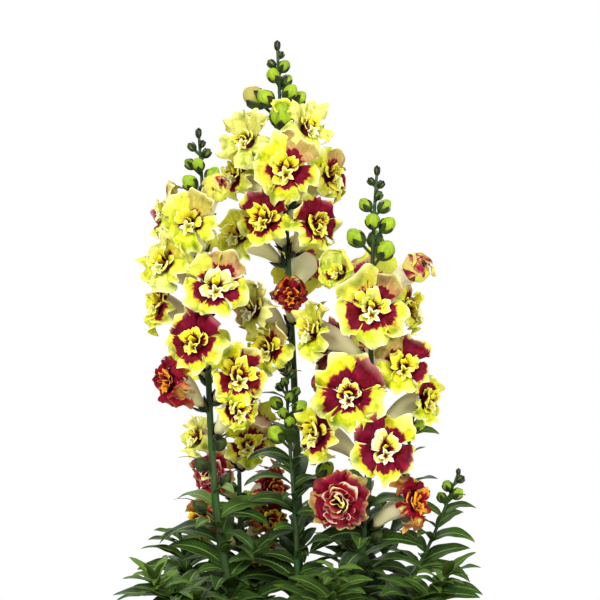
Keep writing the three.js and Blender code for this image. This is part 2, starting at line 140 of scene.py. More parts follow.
# Collects the closed surfaces of one piece. Each point carries three painted vectors that its finish reads:
# place (where on the petal or leaf), tint and tone (its colours; on lobes and crown petals, tone also marks
# where shade and highlight are painted).
class Shell:
    def __init__(self):
        self.points, self.faces, self.finishes, self.count = [], [], [], 0
        self.painted = {"place": [], "tint": [], "tone": []}

    def add(self, points, faces, painted, finish):
        self.points.append(points)
        self.faces.append(np.where(faces < 0, -1, faces + self.count))
        self.finishes.append(np.full(len(faces), finish))
        for name, values in zip(self.painted, painted):
            self.painted[name].append(values)
        self.count += len(points)

    # a skin through rings of points, counterclockwise seen from the far end, with a pole at each end
    def tube(self, circles, start, end, place=(0, 0, 0), tint=(0, 0, 0), tone=(0, 0, 0), finish=0):
        n, m = circles.shape[:2]
        k = np.arange(m)
        after, none = (k + 1) % m, np.full(m, -1)
        r = np.repeat(np.arange(n - 1), m) * m
        a, b = r + np.tile(k, n - 1), r + np.tile(after, n - 1)
        faces = np.concatenate([
            np.stack([a, b, b + m, a + m], -1),
            np.stack([np.full(m, n * m), after, k, none], -1),
            np.stack([(n - 1) * m + k, (n - 1) * m + after, np.full(m, n * m + 1), none], -1)])
        painted = []
        for values in (place, tint, tone):
            grid = np.broadcast_to(np.asarray(values, float), (n, m, 3))
            painted.append(np.concatenate([grid.reshape(-1, 3), [grid[0].mean(0), grid[-1].mean(0)]]))
        self.add(np.concatenate([circles.reshape(-1, 3), [start, end]]), faces, painted, finish)

    # a thin closed sheet: middle + and - half its thickness along the surface's own normal, joined round
    # the rim. Rows run from root to tip and columns across; place's third number is 1 on the front and 0 on
    # the back.
    def sheet(self, middle, thick, place, tint=(0, 0, 0), tone=(0, 0, 0), finish=0):
        n, m = middle.shape[:2]
        normal = unit(np.cross(np.gradient(middle, axis=1), np.gradient(middle, axis=0)) + 1e-9)
        half = normal * (np.broadcast_to(thick, (n, m)) / 2)[..., None]
        circles = np.concatenate([middle + half, (middle - half)[:, ::-1]], 1)
        r = np.repeat(np.arange(n - 1), 2 * m) * 2 * m
        k = np.tile(np.arange(2 * m), n - 1)
        a, b = r + k, r + (k + 1) % (2 * m)
        i = np.arange(m - 1)
        far = (n - 1) * 2 * m
        faces = np.concatenate([
            np.stack([a, b, b + 2 * m, a + 2 * m], -1),
            np.stack([far + i, far + i + 1, far + 2 * m - 2 - i, far + 2 * m - 1 - i], -1),
            np.stack([i + 1, i, 2 * m - 1 - i, 2 * m - 2 - i], -1)])
        painted = []
        for values in (place, tint, tone):
            grid = np.broadcast_to(np.asarray(values, float), (n, m, 3))
            painted.append(np.concatenate([grid, grid[:, ::-1]], 1))
        painted[0][:, :m, 2], painted[0][:, m:, 2] = 1, 0
        self.add(circles.reshape(-1, 3), faces, [p.reshape(-1, 3) for p in painted], finish)

    # the finished object and its number of triangles
    def piece(self, name, finishes, node, slot):
        points, faces = np.concatenate(self.points), np.concatenate(self.faces)
        corners = np.where(faces[:, 3] < 0, 3, 4)
        loops = faces[faces >= 0]
        starts = np.concatenate([[0], np.cumsum(corners)[:-1]])
        mesh = bpy.data.meshes.new(name)
        mesh.vertices.add(len(points))
        mesh.vertices.foreach_set("co", (points * mm).ravel())
        mesh.loops.add(len(loops))
        mesh.loops.foreach_set("vertex_index", loops.astype(np.int32))
        mesh.polygons.add(len(faces))
        mesh.polygons.foreach_set("loop_start", starts.astype(np.int32))
        mesh.polygons.foreach_set("material_index", np.concatenate(self.finishes).astype(np.int32))
        mesh.update(calc_edges=True)
        mesh.shade_smooth()
        for key, values in self.painted.items():
            attribute = mesh.attributes.new(key, "FLOAT_VECTOR", "POINT")
            attribute.data.foreach_set("vector", np.concatenate(values).ravel())
        for finish in finishes:
            mesh.materials.append(finish)
        thing = addToScene(name, mesh)
        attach(thing, "root")
        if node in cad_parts:
            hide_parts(node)
        return thing, int(np.sum(corners - 2))

    # an object without paint, for the floor and for cutters
    def plain(self, name):
        points, faces = np.concatenate(self.points) * mm, np.concatenate(self.faces)
        mesh = bpy.data.meshes.new(name)
        mesh.from_pydata(points.tolist(), [], [[int(i) for i in f if i >= 0] for f in faces])
        return addToScene(name, mesh)


# a screen colour, 0 to 255, in Blender's linear values
def paint(red, green, blue):
    c = np.array([red, green, blue]) / 255
    return (*[float(x) for x in np.where(c <= 0.04045, c / 12.92, ((c + 0.055) / 1.055) ** 2.4)], 1.0)


# One output socket of a finish. + - * on signals and numbers add Math nodes.
class Signal:
    def __init__(self, finish, socket):
        self.finish, self.socket = finish, socket

    def math(self, operation, *values):
        return self.finish.node("ShaderNodeMath", {"operation": operation}, list(values))

    def __add__(self, other):
        return self.math("ADD", self, other)

    def __radd__(self, other):
        return self.math("ADD", other, self)

    def __sub__(self, other):
        return self.math("SUBTRACT", self, other)

    def __rsub__(self, other):
        return self.math("SUBTRACT", other, self)

    def __mul__(self, other):
        return self.math("MULTIPLY", self, other)

    def __rmul__(self, other):
        return self.math("MULTIPLY", other, self)

    def size(self):
        return self.math("ABSOLUTE", self)

    def sine(self):
        return self.math("SINE", self)

    # 0 at low, 1 at high, smooth between
    def ease(self, low, high):
        return self.finish.node("ShaderNodeMapRange", {"interpolation_type": "SMOOTHSTEP"},
                                {"Value": self, "From Min": low, "From Max": high})


# The nodes of a material or of the world.
class Finish:
    def __init__(self, owner):
        owner.use_nodes = True
        self.owner, self.tree = owner, owner.node_tree

    # any node: its type, its settings, then the values or signals of its sockets
    def node(self, kind, settings=None, inputs=None, output=0):
        node = self.tree.nodes.new(kind)
        for key, value in (settings or {}).items():
            setattr(node, key, value)
        inputs = inputs or {}
        for key, value in inputs.items() if isinstance(inputs, dict) else enumerate(inputs):
            self.feed(node.inputs[key], value)
        return Signal(self, node.outputs[output])

    def feed(self, socket, value):
        if isinstance(value, Signal):
            self.tree.links.new(value.socket, socket)
        else:
            socket.default_value = value

    # the three numbers of a vector
    def parts(self, vector):
        split = self.node("ShaderNodeSeparateXYZ", None, [vector]).socket.node
        return [Signal(self, socket) for socket in split.outputs]

    def painted(self, name):
        return self.parts(self.node("ShaderNodeAttribute", {"attribute_name": name}, None, "Vector"))

    def ownPlace(self):
        return self.node("ShaderNodeTexCoord", None, None, "Object")

    def noise(self, vector, scale, detail=3.0, roughness=0.55):
        return self.node("ShaderNodeTexNoise", None,
                         {"Vector": vector, "Scale": scale, "Detail": detail, "Roughness": roughness})

    # noise over the piece's own coordinates
    def specks(self, scale, detail=3.0, roughness=0.55):
        return self.noise(self.ownPlace(), scale, detail, roughness)

    # noise over three numbers, stretched as they are scaled
    def streaks(self, x, y, z, detail=3.0, roughness=0.55):
        return self.noise(self.node("ShaderNodeCombineXYZ", None, [x, y, z]), 1.0, detail, roughness)

    # from the first colour at 0 to the second at 1; a colour is a signal or a screen colour
    def colour(self, amount, first, second):
        both = [c if isinstance(c, Signal) else paint(*c) for c in (first, second)]
        return self.node("ShaderNodeMix", {"data_type": "RGBA", "blend_type": "MIX", "clamp_factor": True},
                         {0: amount, 6: both[0], 7: both[1]}, 2)

    # coats on a colour, each an amount and the colour that it brings
    def coats(self, base, *layers):
        for amount, top in layers:
            base = self.colour(amount, base, top)
        return base

    def bump(self, height, strength, distance):
        return self.node("ShaderNodeBump", None,
                         {"Height": height, "Strength": strength, "Distance": distance})

    def surface(self, **values):
        shader = self.tree.nodes["Principled BSDF"]
        for key, value in values.items():
            self.feed(shader.inputs[key.replace("_", " ")], value)
        return self.owner


def newFinish(name):
    return Finish(bpy.data.materials.new(name))


def aim(thing, place, target):
    thing.location = Vector(place) * mm
    thing.rotation_euler = (Vector(target) - Vector(place)).to_track_quat("-Z", "Y").to_euler()


def setCameraAndLamps():
    camera = addToScene("camera", bpy.data.cameras.new("camera"))
    camera.data.lens, camera.data.sensor_width = shot["lens"], shot["sensor"]
    camera.data.clip_end = shot["farthest"]
    aim(camera, shot["place"], shot["target"])
    bpy.context.scene.camera = camera
    for i, (place, size, watts) in enumerate(studio["lamps"]):
        lamp = bpy.data.lights.new("lamp_%d" % i, "AREA")
        lamp.size, lamp.energy = size * mm, watts
        aim(addToScene(lamp.name, lamp), place, studio["lampTarget"])


# soft light that grows from the ground to the sky, in front of a plain white surround
def setSurround():
    world = bpy.data.worlds.new("studio")
    w = Finish(world)
    white = (1, 1, 1, 1)
    climb = w.parts(w.node("ShaderNodeTexCoord", None, None, "Generated"))[2]
    strength = w.node("ShaderNodeMapRange", None, {
        "Value": climb, "From Min": -0.3, "From Max": 0.9,
        "To Min": studio["below"], "To Max": studio["above"]})
    glow = w.tree.nodes["Background"]
    w.feed(glow.inputs["Color"], white)
    w.feed(glow.inputs["Strength"], strength)
    surround = w.node("ShaderNodeBackground", None, {"Color": white, "Strength": studio["surround"]})
    seen = w.node("ShaderNodeLightPath", None, None, "Is Camera Ray")
    both = w.node("ShaderNodeMixShader", None, [seen, Signal(w, glow.outputs[0]), surround])
    w.feed(w.tree.nodes["World Output"].inputs["Surface"], both)
    bpy.context.scene.world = world
    bpy.context.scene.view_settings.view_transform = "Standard"


# a disc of rings that widen outwards
def layFloor():
    f = newFinish("studioFloor")
    lighter = [c + 6 for c in studio["floor"]]
    paper = f.surface(Base_Color=f.colour(f.specks(3.0), studio["floor"], lighter), Roughness=0.9)
    radius = np.linspace(0.02, 1, 24) ** 2 * studio["floorRadius"]
    middle = np.zeros((len(radius), 3)) - up3 * studio["floorDrop"]
    disc = Shell()
    disc.tube(rings(middle, right3, side3, radius, 64)[::-1], up3 * -3.0, middle[0])
    floor = disc.plain("floor")
    floor.data.materials.append(paper)


setCameraAndLamps()
setSurround()
layFloor()
print("studio set")


def lobeFinish(name, worn):
    f = newFinish(name)
    share, across, side = f.painted("place")
    crimsonTo, tan, gold = f.painted("tint")
    along, hue, crease = f.painted("tone")
    # crease is the painted shade mask: high where the lobe's ruffles and fold dip, below zero on their crests
    rim, ridge = across.size(), crease * -1.0
    streak = f.streaks(across * 3.0, share * 2.6, hue * 37.0)
    ray = f.streaks(across * 15.0, share * 3.0, hue * 53.0, 2.0, 0.5)
    patch = f.streaks(across * 1.8, share * 3.0, hue * 71.0, 2.0, 0.5)
    cells = f.specks(700.0, 2.0)
    pucker = f.specks(230.0, 3.0, 0.6)
    # the outer part of each lobe and its side rims go pale cream, near white at the very edge: partly the
    # petal's own paler margin, partly painted highlight on the rims
    edge = along.ease(0.7, 0.96) * (0.55 + cells * 0.4) + rim.ease(0.8, 1.0) * along.ease(0.3, 0.7) * 0.5
    outermost = along.ease(0.93, 1.0) * 0.6 + rim.ease(0.94, 1.0) * along.ease(0.4, 0.7) * 0.4
    lemon = f.coats(
        f.colour(gold, (208, 218, 44), (218, 208, 4)),
        (gold * -1.0, (160, 192, 24)),
        (crimsonTo.ease(0.32, 0.24) * (0.35 + along * 0.3), (244, 242, 168)),
        (pucker.ease(0.5, 0.68) * 0.7, (240, 242, 104)),
        (pucker.ease(0.5, 0.34) * 0.75, (160, 174, 6)),
        (patch.ease(0.45, 0.75) * 0.7, (178, 198, 28)),
        (ray.ease(0.5, 0.75) * 0.4, (164, 166, 14)),
        # painted shade in the creases
        (crease.ease(0.1, 1.0) * 0.9, (118, 142, 6)),
        # painted highlight on the ridges
        (ridge.ease(0.2, 1.0) * 0.6, (250, 248, 124)),
        (edge, (248, 248, 150)),
        (outermost, (254, 254, 220)))
    blush = f.coats(
        f.colour(share + streak * 0.5 - 0.35, (146, 52, 80), (176, 154, 84)),
        (patch.ease(0.4, 0.7) * 0.7, (150, 92, 80)),
        (ray.ease(0.45, 0.75) * 0.5, (186, 176, 76)),
        (pucker.ease(0.5, 0.7) * 0.5, (216, 176, 132)),
        # painted shade in the creases
        (crease.ease(0.1, 1.0) * 0.7, (126, 84, 58)))
    red = f.coats(
        f.colour(patch.ease(0.35, 0.6), (100, 1, 10), (116, 2, 42)),
        (ray.ease(0.4, 0.75) * 0.7, (60, 0, 8)),
        (pucker.ease(0.5, 0.7) * 0.5, (150, 12, 44)),
        # painted shade in the creases
        (crease.ease(0.0, 1.0) * 0.7, (50, 0, 10)),
        # painted highlight on the ridges
        (ridge.ease(0.2, 1.0) * 0.4, (170, 14, 60)))
    # the crimson stops raggedly, breaks between lobes and wears a thin orange edge
    broken = rim.ease(0.72, 1.0) * 0.16 * (1 - crimsonTo.ease(0.8, 1.0))
    reach = crimsonTo + (streak - 0.5) * (0.5 + tan * 0.3) + (ray - 0.5) * (0.02 + tan * 0.2) - broken - share
    crimson = reach.ease(-0.02, 0.04)
    front = f.coats(
        lemon,
        (tan * (1 - along.ease(0.86, 1.0) * 0.8) * (0.7 + streak * 0.6), blush),
        (reach.ease(-0.07, 0.0) * (0.25 + streak * 0.4), (214, 110, 50)),
        (crimson, red),
        (crimson * (1 - gold) * along.ease(0.62, 1.0) * (0.3 + streak * 0.9), (204, 134, 132)))
    back = f.coats(
        f.colour(along, (182, 188, 80), (220, 222, 74)),
        (tan * patch.ease(0.35, 0.6) * 0.9, (186, 126, 120)),
        (crimson * (0.3 + streak.ease(0.35, 0.55) * 0.7), (142, 22, 56)))
    body = f.colour(side.ease(0.3, 0.7), back, front)
    if worn:
        withered = f.coats(
            f.colour(ray.ease(0.35, 0.65), (96, 0, 22), (154, 4, 34)),
            (along.ease(0.78, 1.0) * patch.ease(0.4, 0.6), (232, 132, 26)))
        body = f.colour(streak.ease(0.25, 0.5) * worn * 0.85, body, withered)
    height = ray * 0.3 + cells * 0.2 + pucker
    return f.surface(
        Base_Color=body, Roughness=0.5 + cells * 0.2, Normal=f.bump(height, 0.75, 0.0013),
        Specular_IOR_Level=0.1, Subsurface_Weight=0.06, Subsurface_Radius=(0.0015, 0.0015, 0.0006))


def tubeFinish():
    f = newFinish("tubeFinish")
    along, around, inner = f.painted("place")
    pink, _, hue = f.painted("tint")
    line = f.streaks(around * 16.0, along * 1.6, hue * 29.0, 2.0, 0.5)
    cloud = f.specks(90.0)
    throat = f.colour(cloud, (96, 2, 20), (52, 0, 10))
    skin = f.coats(
        f.colour(along, (200, 202, 128), (240, 236, 200)),
        (cloud.ease(0.35, 0.7) * 0.5, (222, 216, 168)),
        (line.ease(0.45, 0.7) * 0.3, (196, 188, 140)),
        (pink * along * (0.5 + cloud), (186, 112, 108)),
        (inner.ease(0.3, 0.7), throat))
    return f.surface(
        Base_Color=skin, Roughness=0.5 + cloud * 0.15, Normal=f.bump(line, 0.3, 0.0004),
        Specular_IOR_Level=0.25, Subsurface_Weight=0.06, Subsurface_Radius=(0.002, 0.0015, 0.001))


def crownFinish():
    f = newFinish("crownFinish")
    along, across, side = f.painted("place")
    crimson, gold, pale = f.painted("tint")
    crease, hue, _ = f.painted("tone")
    line = f.streaks(across * 7.0, along * 2.0, hue * 31.0, 2.0, 0.5)
    cloud = f.specks(330.0)
    amber = pale * -1.0
    light = f.coats(
        f.colour(pale, (246, 238, 92), (254, 254, 222)),
        (crimson.ease(0.7, 1.0), (246, 206, 176)),
        (amber, (240, 156, 44)))
    rim = along.ease(0.78, 0.98) * 0.8 + across.size().ease(0.8, 1.0) * along.ease(0.3, 0.6) * 0.6
    redShare = (crimson + 0.1 + (line - 0.5) * 0.9 - along * 0.85).ease(0.0, 0.14)
    petal = f.coats(
        f.colour(pale, (228, 216, 8), (230, 230, 84)),
        ((pale - 1) * 0.9, (238, 230, 196)),
        (amber, (222, 96, 12)),
        (cloud.ease(0.45, 0.7) * 0.45, (192, 206, 40)),
        (gold * (1 - along.ease(0.1, 0.8)), (238, 158, 10)),
        # painted shade in the dips of the petals' ripples and deep in the funnel
        (crease.ease(0.15, 0.95) * 0.8, (132, 146, 10)),
        ((1 - side) * 0.35, (196, 186, 60)),
        (redShare, f.colour(cloud, (98, 1, 16), (146, 6, 32))),
        (rim * (1 - crimson.ease(0.9, 1.0) * 0.65), light))
    return f.surface(
        Base_Color=petal, Roughness=0.5 + cloud * 0.2, Normal=f.bump(line + cloud, 0.4, 0.0005),
        Specular_IOR_Level=0.1, Subsurface_Weight=0.05, Subsurface_Radius=(0.0015, 0.0015, 0.0006))


def leafFinish():
    f = newFinish("leafFinish")
    along, across, side = f.painted("place")
    old, fresh, hue = f.painted("tint")
    rim = across.size()
    cloud, fine = f.specks(120.0, 4.0), f.specks(900.0)
    # side veins run slantwise from the midrib
    slant = (along * 15.0 - rim * 2.4 + hue * 5.0) * 6.283
    vein = slant.sine().ease(0.7, 1.0) * (1 - rim.ease(0.6, 0.95))
    midrib = 1 - rim.ease(0.03, 0.12)
    green = f.coats(
        f.colour(hue, (6, 32, 2), (36, 74, 8)),
        # painted shade: noise blotches of near black stand in for the deep shadow among the leaves
        ((cloud - 0.38) * 2.4, (1, 12, 1)),
        (fresh * (0.4 + cloud * 0.6), (114, 148, 56)),
        (fine.ease(0.5, 0.68) * 0.3, (66, 104, 38)),
        (fine.ease(0.5, 0.34) * 0.4, (6, 22, 4)),
        (vein * 0.3, (104, 134, 56)),
        (midrib * 0.65, (134, 162, 78)),
        (rim.ease(0.88, 1.0) * 0.35, (114, 140, 58)),
        (1 - side.ease(0.3, 0.7), f.colour(cloud, (40, 64, 18), (72, 94, 34))),
        (old * along.ease(0.8, 1.0) * 0.5, (140, 136, 56)))
    height = vein * -0.5 + midrib * -0.6 + fine * 0.25 + cloud * 0.4
    return f.surface(Base_Color=green, Roughness=0.46 + cloud * 0.2, Normal=f.bump(height, 0.6, 0.0007),
                     Specular_IOR_Level=0.14)


def stemFinish():
    f = newFinish("stemFinish")
    along, around, _ = f.painted("place")
    purple, _, hue = f.painted("tint")
    line = f.streaks(around * 22.0, along * 24.0, hue * 11.0)
    cloud = f.specks(60.0)
    green = f.coats(
        f.colour(cloud, (14, 52, 14), (36, 80, 28)),
        (line.ease(0.4, 0.7) * 0.4, (84, 122, 54)),
        (purple * cloud.ease(0.35, 0.65), (70, 34, 40)))
    return f.surface(Base_Color=green, Roughness=0.42 + line * 0.15, Normal=f.bump(line, 0.3, 0.0004),
                     Specular_IOR_Level=0.3)


def calyxFinish():
    f = newFinish("calyxFinish")
    along, across, _ = f.painted("place")
    purple, fresh, hue = f.painted("tint")
    cloud = f.specks(220.0)
    line = f.streaks(across * 8.0, along * 2.0, hue * 17.0, 2.0)
    green = f.coats(
        f.colour(hue, (6, 20, 5), (24, 50, 12)),
        (fresh * (0.5 + cloud * 0.5), (104, 146, 32)),
        (along.ease(0.1, 0.9) * (0.5 + purple * 0.8) * (0.5 + cloud), (24, 4, 10)),
        (across.size().ease(0.8, 1.0) * 0.25, (120, 146, 70)))
    return f.surface(Base_Color=green, Roughness=0.4 + cloud * 0.2,
                     Normal=f.bump(line + cloud * 0.5, 0.4, 0.0004), Specular_IOR_Level=0.3)


def budFinish():
    f = newFinish("budFinish")
    along, around, dried = f.painted("place")
    ripe, dark, hue = f.painted("tint")
    blush = f.painted("tone")[0]
    cloud = f.specks(260.0)
    fold = f.streaks(around * 5.0, along * 1.6, hue * 23.0, 2.0)
    skin = f.coats(
        f.colour(ripe, (66, 116, 18), (158, 184, 34)),
        (cloud.ease(0.4, 0.7) * 0.5, (110, 152, 26)),
        (along.ease(0.3, 0.9) * dark * (0.7 + cloud * 0.8), (34, 4, 14)),
        (fold.ease(0.5, 0.7) * 0.6, (78, 118, 14)),
        (blush * (0.2 + fold), f.colour(cloud, (172, 108, 92), (196, 186, 96))),
        (dried * (0.86 + cloud * 0.14), f.colour(cloud, (20, 42, 8), (52, 58, 14))))
    return f.surface(Base_Color=skin, Roughness=0.42 + cloud * 0.2,
                     Normal=f.bump(fold + cloud * 0.4, 0.35, 0.0005), Specular_IOR_Level=0.2)


# lobes by how worn their bloom is
petalPaint = {0: lobeFinish("petalFinish", 0), 0.5: lobeFinish("roseFinish", 0.4),
              1: lobeFinish("witheredFinish", 1)}
tubePaint, crownPaint = tubeFinish(), crownFinish()
leafPaint, stemPaint, calyxPaint, budPaint = leafFinish(), stemFinish(), calyxFinish(), budFinish()
print("plant finishes made")


# Stems: a cubic Bezier path from the root in the compost to the tip, radius at the root and the tip, then
# the leaves: how many, lowest and highest, length there, seed.
soil = {"level": 124.0, "gap": 0.4, "crown": 3.0, "rootDepth": 11.0}
stems = {name: {"path": path, "thick": thick, "leaves": leaves} for name, path, thick, leaves in (
    ("left", [(-20, -4), (-62, -12, 190), (-48, -14, 332), (-58.5, -12, 464)], (3.1, 0.9),
     (11, 150, 230, 50, 30, 2)),
    ("centre", [(2, 4), (12, 26, 200), (-3, 24, 385), (-8.5, 20, 524)], (3.2, 0.9),
     (12, 150, 262, 50, 28, 13)),
    ("right", [(22, -6), (64, -16, 180), (46, -16, 314), (56, -12, 441)], (3.2, 0.9),
     (12, 148, 236, 52, 30, 105)),
    ("young", [(-2, -14), (14, -24, 190), (-4, -6, 250), (-2, -6, 320)], (2.0, 0.7),
     (11, 160, 306, 46, 14, 39)),
    ("right_side", [(34, 2), (72, 4, 150), (90, 2, 185), (110, -2, 244)], (1.8, 0.7),
     (11, 150, 230, 40, 20, 6)),
    ("right_back", [(28, 14), (76, 24, 190), (74, 12, 240), (83, 6, 290)], (1.8, 0.7),
     (10, 158, 280, 44, 18, 983)),
    ("back", [(-8, 24), (-42, 62, 170), (-36, 62, 240), (-33, 60, 296)], (2.3, 0.8),
     (8, 150, 212, 44, 28, 10)),
    ("left_low", [(-30, -20), (-36, -24, 152), (-66, -40, 158), (-86, -48, 182)], (1.7, 1.0),
     (13, 146, 178, 52, 18, 16)),
    ("left_side", [(-16, 12), (-36, 20, 150), (-34, 22, 200), (-34, 18, 238)], (1.7, 0.8),
     (10, 150, 222, 42, 20, 96)),
    ("front_low", [(4, -30), (20, -52, 140), (26, -58, 160), (28, -60, 192)], (1.7, 1.0),
     (13, 144, 190, 52, 18, 1)),
    ("right_low", [(40, -24), (48, -27, 150), (80, -38, 156), (100, -42, 184)], (1.7, 1.0),
     (12, 146, 181, 50, 18, 180)),
    ("back_right", [(16, 30), (40, 54, 140), (50, 60, 170), (52, 62, 214)], (1.7, 1.0),
     (11, 148, 212, 48, 20, 1)),
    ("back_left", [(-28, 24), (-60, 40, 140), (-72, 44, 160), (-76, 46, 198)], (1.7, 1.0),
     (11, 146, 194, 50, 20, 4)),
)}
stalk = {"length": 5.0, "lift": 45, "radius": 1.2, "drop": 24}
calyx = {"depth": 2.4, "sepals": 5}
stemLook = {"rows": 58, "sides": 12, "foot": 8, "swell": 0.13, "swellHeight": 1.8, "ribs": 5,
            "ribDepth": 0.035}


def stemPath(stem):
    (x, y), *rest = stem["path"]
    return np.array([(x, y, soil["level"] - soil["rootDepth"]), *rest], float)


# The foot runs straight to 8 mm over the compost, and the path is the Bezier curve from there. The radius
# falls from root to tip with t^1.3, swells a little at each leaf and carries five faint ribs.
def addStem(shell, stem, hue):
    p = stemPath(stem)
    first = atHeight(p, soil["level"] + stemLook["foot"])
    t = np.concatenate([[0, first * 0.5], np.linspace(first, 1, stemLook["rows"])])
    centre = bezier(p, t)
    centre[1] = (centre[0] + centre[2]) / 2
    right, up = crossAxes(bezierAlong(p, t), side3)
    count, low, high = stem["leaves"][:3]
    swell = np.exp(-((centre[:, 2:3] - np.linspace(low, high, count)) / stemLook["swellHeight"]) ** 2).sum(1)
    radius = mix(*stem["thick"], t ** 1.3) * (1 + stemLook["swell"] * swell)
    a = turns(stemLook["sides"])
    radius = radius[:, None] * (1 + stemLook["ribDepth"] * np.cos(stemLook["ribs"] * a))
    shell.tube(rings(centre, right, up, radius, len(a)), bezier(p, 0)[0], bezier(p, 1)[0] + [0, 0, 0.4],
               vectors(t[:, None], np.cos(a)), (0.35, 0, hue), finish=0)


leaf = {
    "widthShare": 0.31, "fold": 0.26, "rise": (50, 12), "tip": (-14, 24), "turn": 137.5, "sway": 16,
    "roll": 22, "toLight": 22, "rows": 17, "cols": 8, "wave": 0.10, "blade": 0.22, "midrib": 0.6,
    "midribWidth": 0.16,
}


def leafPlan(leaves, i):
    count, low, high, longLow, longHigh, seed = leaves
    share = i / (count - 1)
    return {
        "z": mix(low, high, share),
        "around": seed * 40 + i * leaf["turn"] + spread(seed, i) * leaf["sway"],
        "length": mix(longLow, longHigh, share ** 1.4) * mix(0.88, 1.08, draw(seed, i + 40)),
        "lift": leaf["rise"][0] + spread(seed, i + 80) * leaf["rise"][1],
        "tip": leaf["tip"][0] + spread(seed, i + 120) * leaf["tip"][1],
        "roll": spread(seed, i + 160) * leaf["roll"],
        "hue": draw(seed, i + 200), "fresh": share,
    }


# The midrib is an arc whose slope turns evenly from lift to tip: its point is the start + L (sin e - sin
# lift)/bend level and - L (cos e - cos lift)/bend upwards, with e the slope at share s. Half the width is
# sin(pi s^0.8)^0.8, the halves fold up like a trough with |v|^1.4, and the rims ripple with s.
def addLeaf(shell, start, plan):
    s = np.linspace(0, 1, leaf["rows"])[:, None]
    v = np.linspace(-1, 1, leaf["cols"])[None, :]
    level, length = heading(plan["around"]), plan["length"]
    lift, bend = math.radians(plan["lift"]), math.radians(plan["tip"] - plan["lift"])
    roll = math.radians(plan["roll"] + leaf["toLight"] * math.sin(math.radians(plan["around"])))
    e = (lift + bend * s)[..., None]
    middle = (start + level * length * (np.sin(e) - math.sin(lift)) / bend
              - up3 * length * (np.cos(e) - math.cos(lift)) / bend)
    along = level * np.cos(e) + up3 * np.sin(e)
    flat = -level * np.sin(e) + up3 * np.cos(e)
    normal = flat * math.cos(roll) + np.cross(along, flat) * math.sin(roll)
    side = np.cross(along, normal)
    profile = np.abs(np.sin(np.pi * s ** 0.8)) ** 0.8
    width = length * leaf["widthShare"] / 2 * np.maximum(profile, 0.12 * (1 - s) + 0.01)
    phase = plan["hue"] * 6.28
    wave = np.sin(s * 15 + phase + np.sign(v) * 1.3)
    ripple = leaf["wave"] * width * np.abs(v) ** 2 * wave * ease(0.1, 0.4, s)
    rise = width * leaf["fold"] * np.abs(v) ** 1.4 + ripple
    points = middle + side * (width * v)[..., None] + normal * rise[..., None]
    thick = leaf["blade"] + leaf["midrib"] * np.exp(-(v / leaf["midribWidth"]) ** 2) * (1 - 0.8 * s)
    fresh = 0.25 * plan["fresh"] + 0.6 * plan["fresh"] ** 5
    shell.sheet(points, thick, vectors(s, v), (float(plan["hue"] > 0.9), fresh, plan["hue"]), finish=1)


# Between the source's leaves a leafy stem carries more, smaller ones; low down they fill out each rosette.
bush = {
    "left": (14, 140, 196, 34, 22, 301), "centre": (16, 140, 214, 34, 20, 302),
    "right": (16, 140, 200, 36, 22, 303), "young": (22, 150, 300, 28, 9, 304),
    "right_side": (9, 146, 186, 34, 18, 305), "right_back": (14, 150, 270, 30, 11, 306),
    "back": (14, 140, 206, 34, 20, 307), "left_low": (26, 140, 182, 50, 14, 308),
    "left_side": (18, 140, 226, 32, 12, 309), "front_low": (24, 140, 190, 40, 12, 310),
    "right_low": (24, 142, 183, 42, 12, 311), "back_right": (20, 142, 210, 36, 12, 312),
    "back_left": (20, 140, 194, 38, 12, 313),
}
# Some leaves reach past the rest: height on the stem, degrees round it, length, slope at the start and end,
# how fresh.
reaching = {
    "left_low": [
        (163, -72, 50, 34, -8, 0.3), (170, -96, 38, 20, -30, 0.5), (176, -50, 32, 40, 0, 0.8),
        (180, -84, 24, 62, 30, 1), (181, -20, 22, 60, 30, 1), (181, 40, 20, 66, 36, 1),
        (158, -40, 46, 16, -30, 0.2), (181, 150, 22, 60, 20, 1)],
    "right_low": [
        (166, 62, 42, 30, -10, 0.3), (174, 88, 32, 24, -34, 0.4), (180, 50, 32, 48, 0, 0.6),
        (182, 100, 26, 58, 20, 0.8), (158, 30, 46, 14, -26, 0.2), (182, 10, 24, 60, 20, 0.9)],
    "right_side": [
        (176, 84, 40, 34, -50, 0.3), (196, 70, 34, 50, -40, 0.4), (214, 96, 26, 54, -30, 0.6),
        (206, -60, 30, 50, -30, 0.5)],
    "left_side": [(178, -80, 44, 40, -30, 0.3), (196, -60, 34, 50, -20, 0.4)],
    "left": [
        (208, -78, 42, 22, -46, 0.1), (198, -104, 44, 36, -30, 0.2), (214, 76, 38, 34, -44, 0.1),
        (204, 36, 40, 20, -30, 0.1)],
    "young": [
        (252, -84, 32, 46, -46, 0.2), (246, 66, 30, 50, -30, 0.3), (232, 100, 36, 40, -44, 0.2),
        (236, -64, 38, 44, -36, 0.1), (222, -100, 40, 30, -30, 0.1), (218, 40, 40, 26, -30, 0.2)],
    "centre": [
        (226, 76, 44, 40, -36, 0.1), (218, -76, 44, 36, -40, 0.1), (206, 100, 46, 30, -30, 0.1),
        (200, -40, 44, 16, -30, 0.2)],
    "right": [
        (212, 134, 40, 36, -40, 0.1), (204, -60, 44, 22, -44, 0.1), (196, 90, 42, 30, -30, 0.2),
        (192, -20, 42, 10, -30, 0.2)],
    "back_left": [(168, -80, 36, 30, -20, 0.3), (184, -60, 28, 46, -10, 0.4)],
}


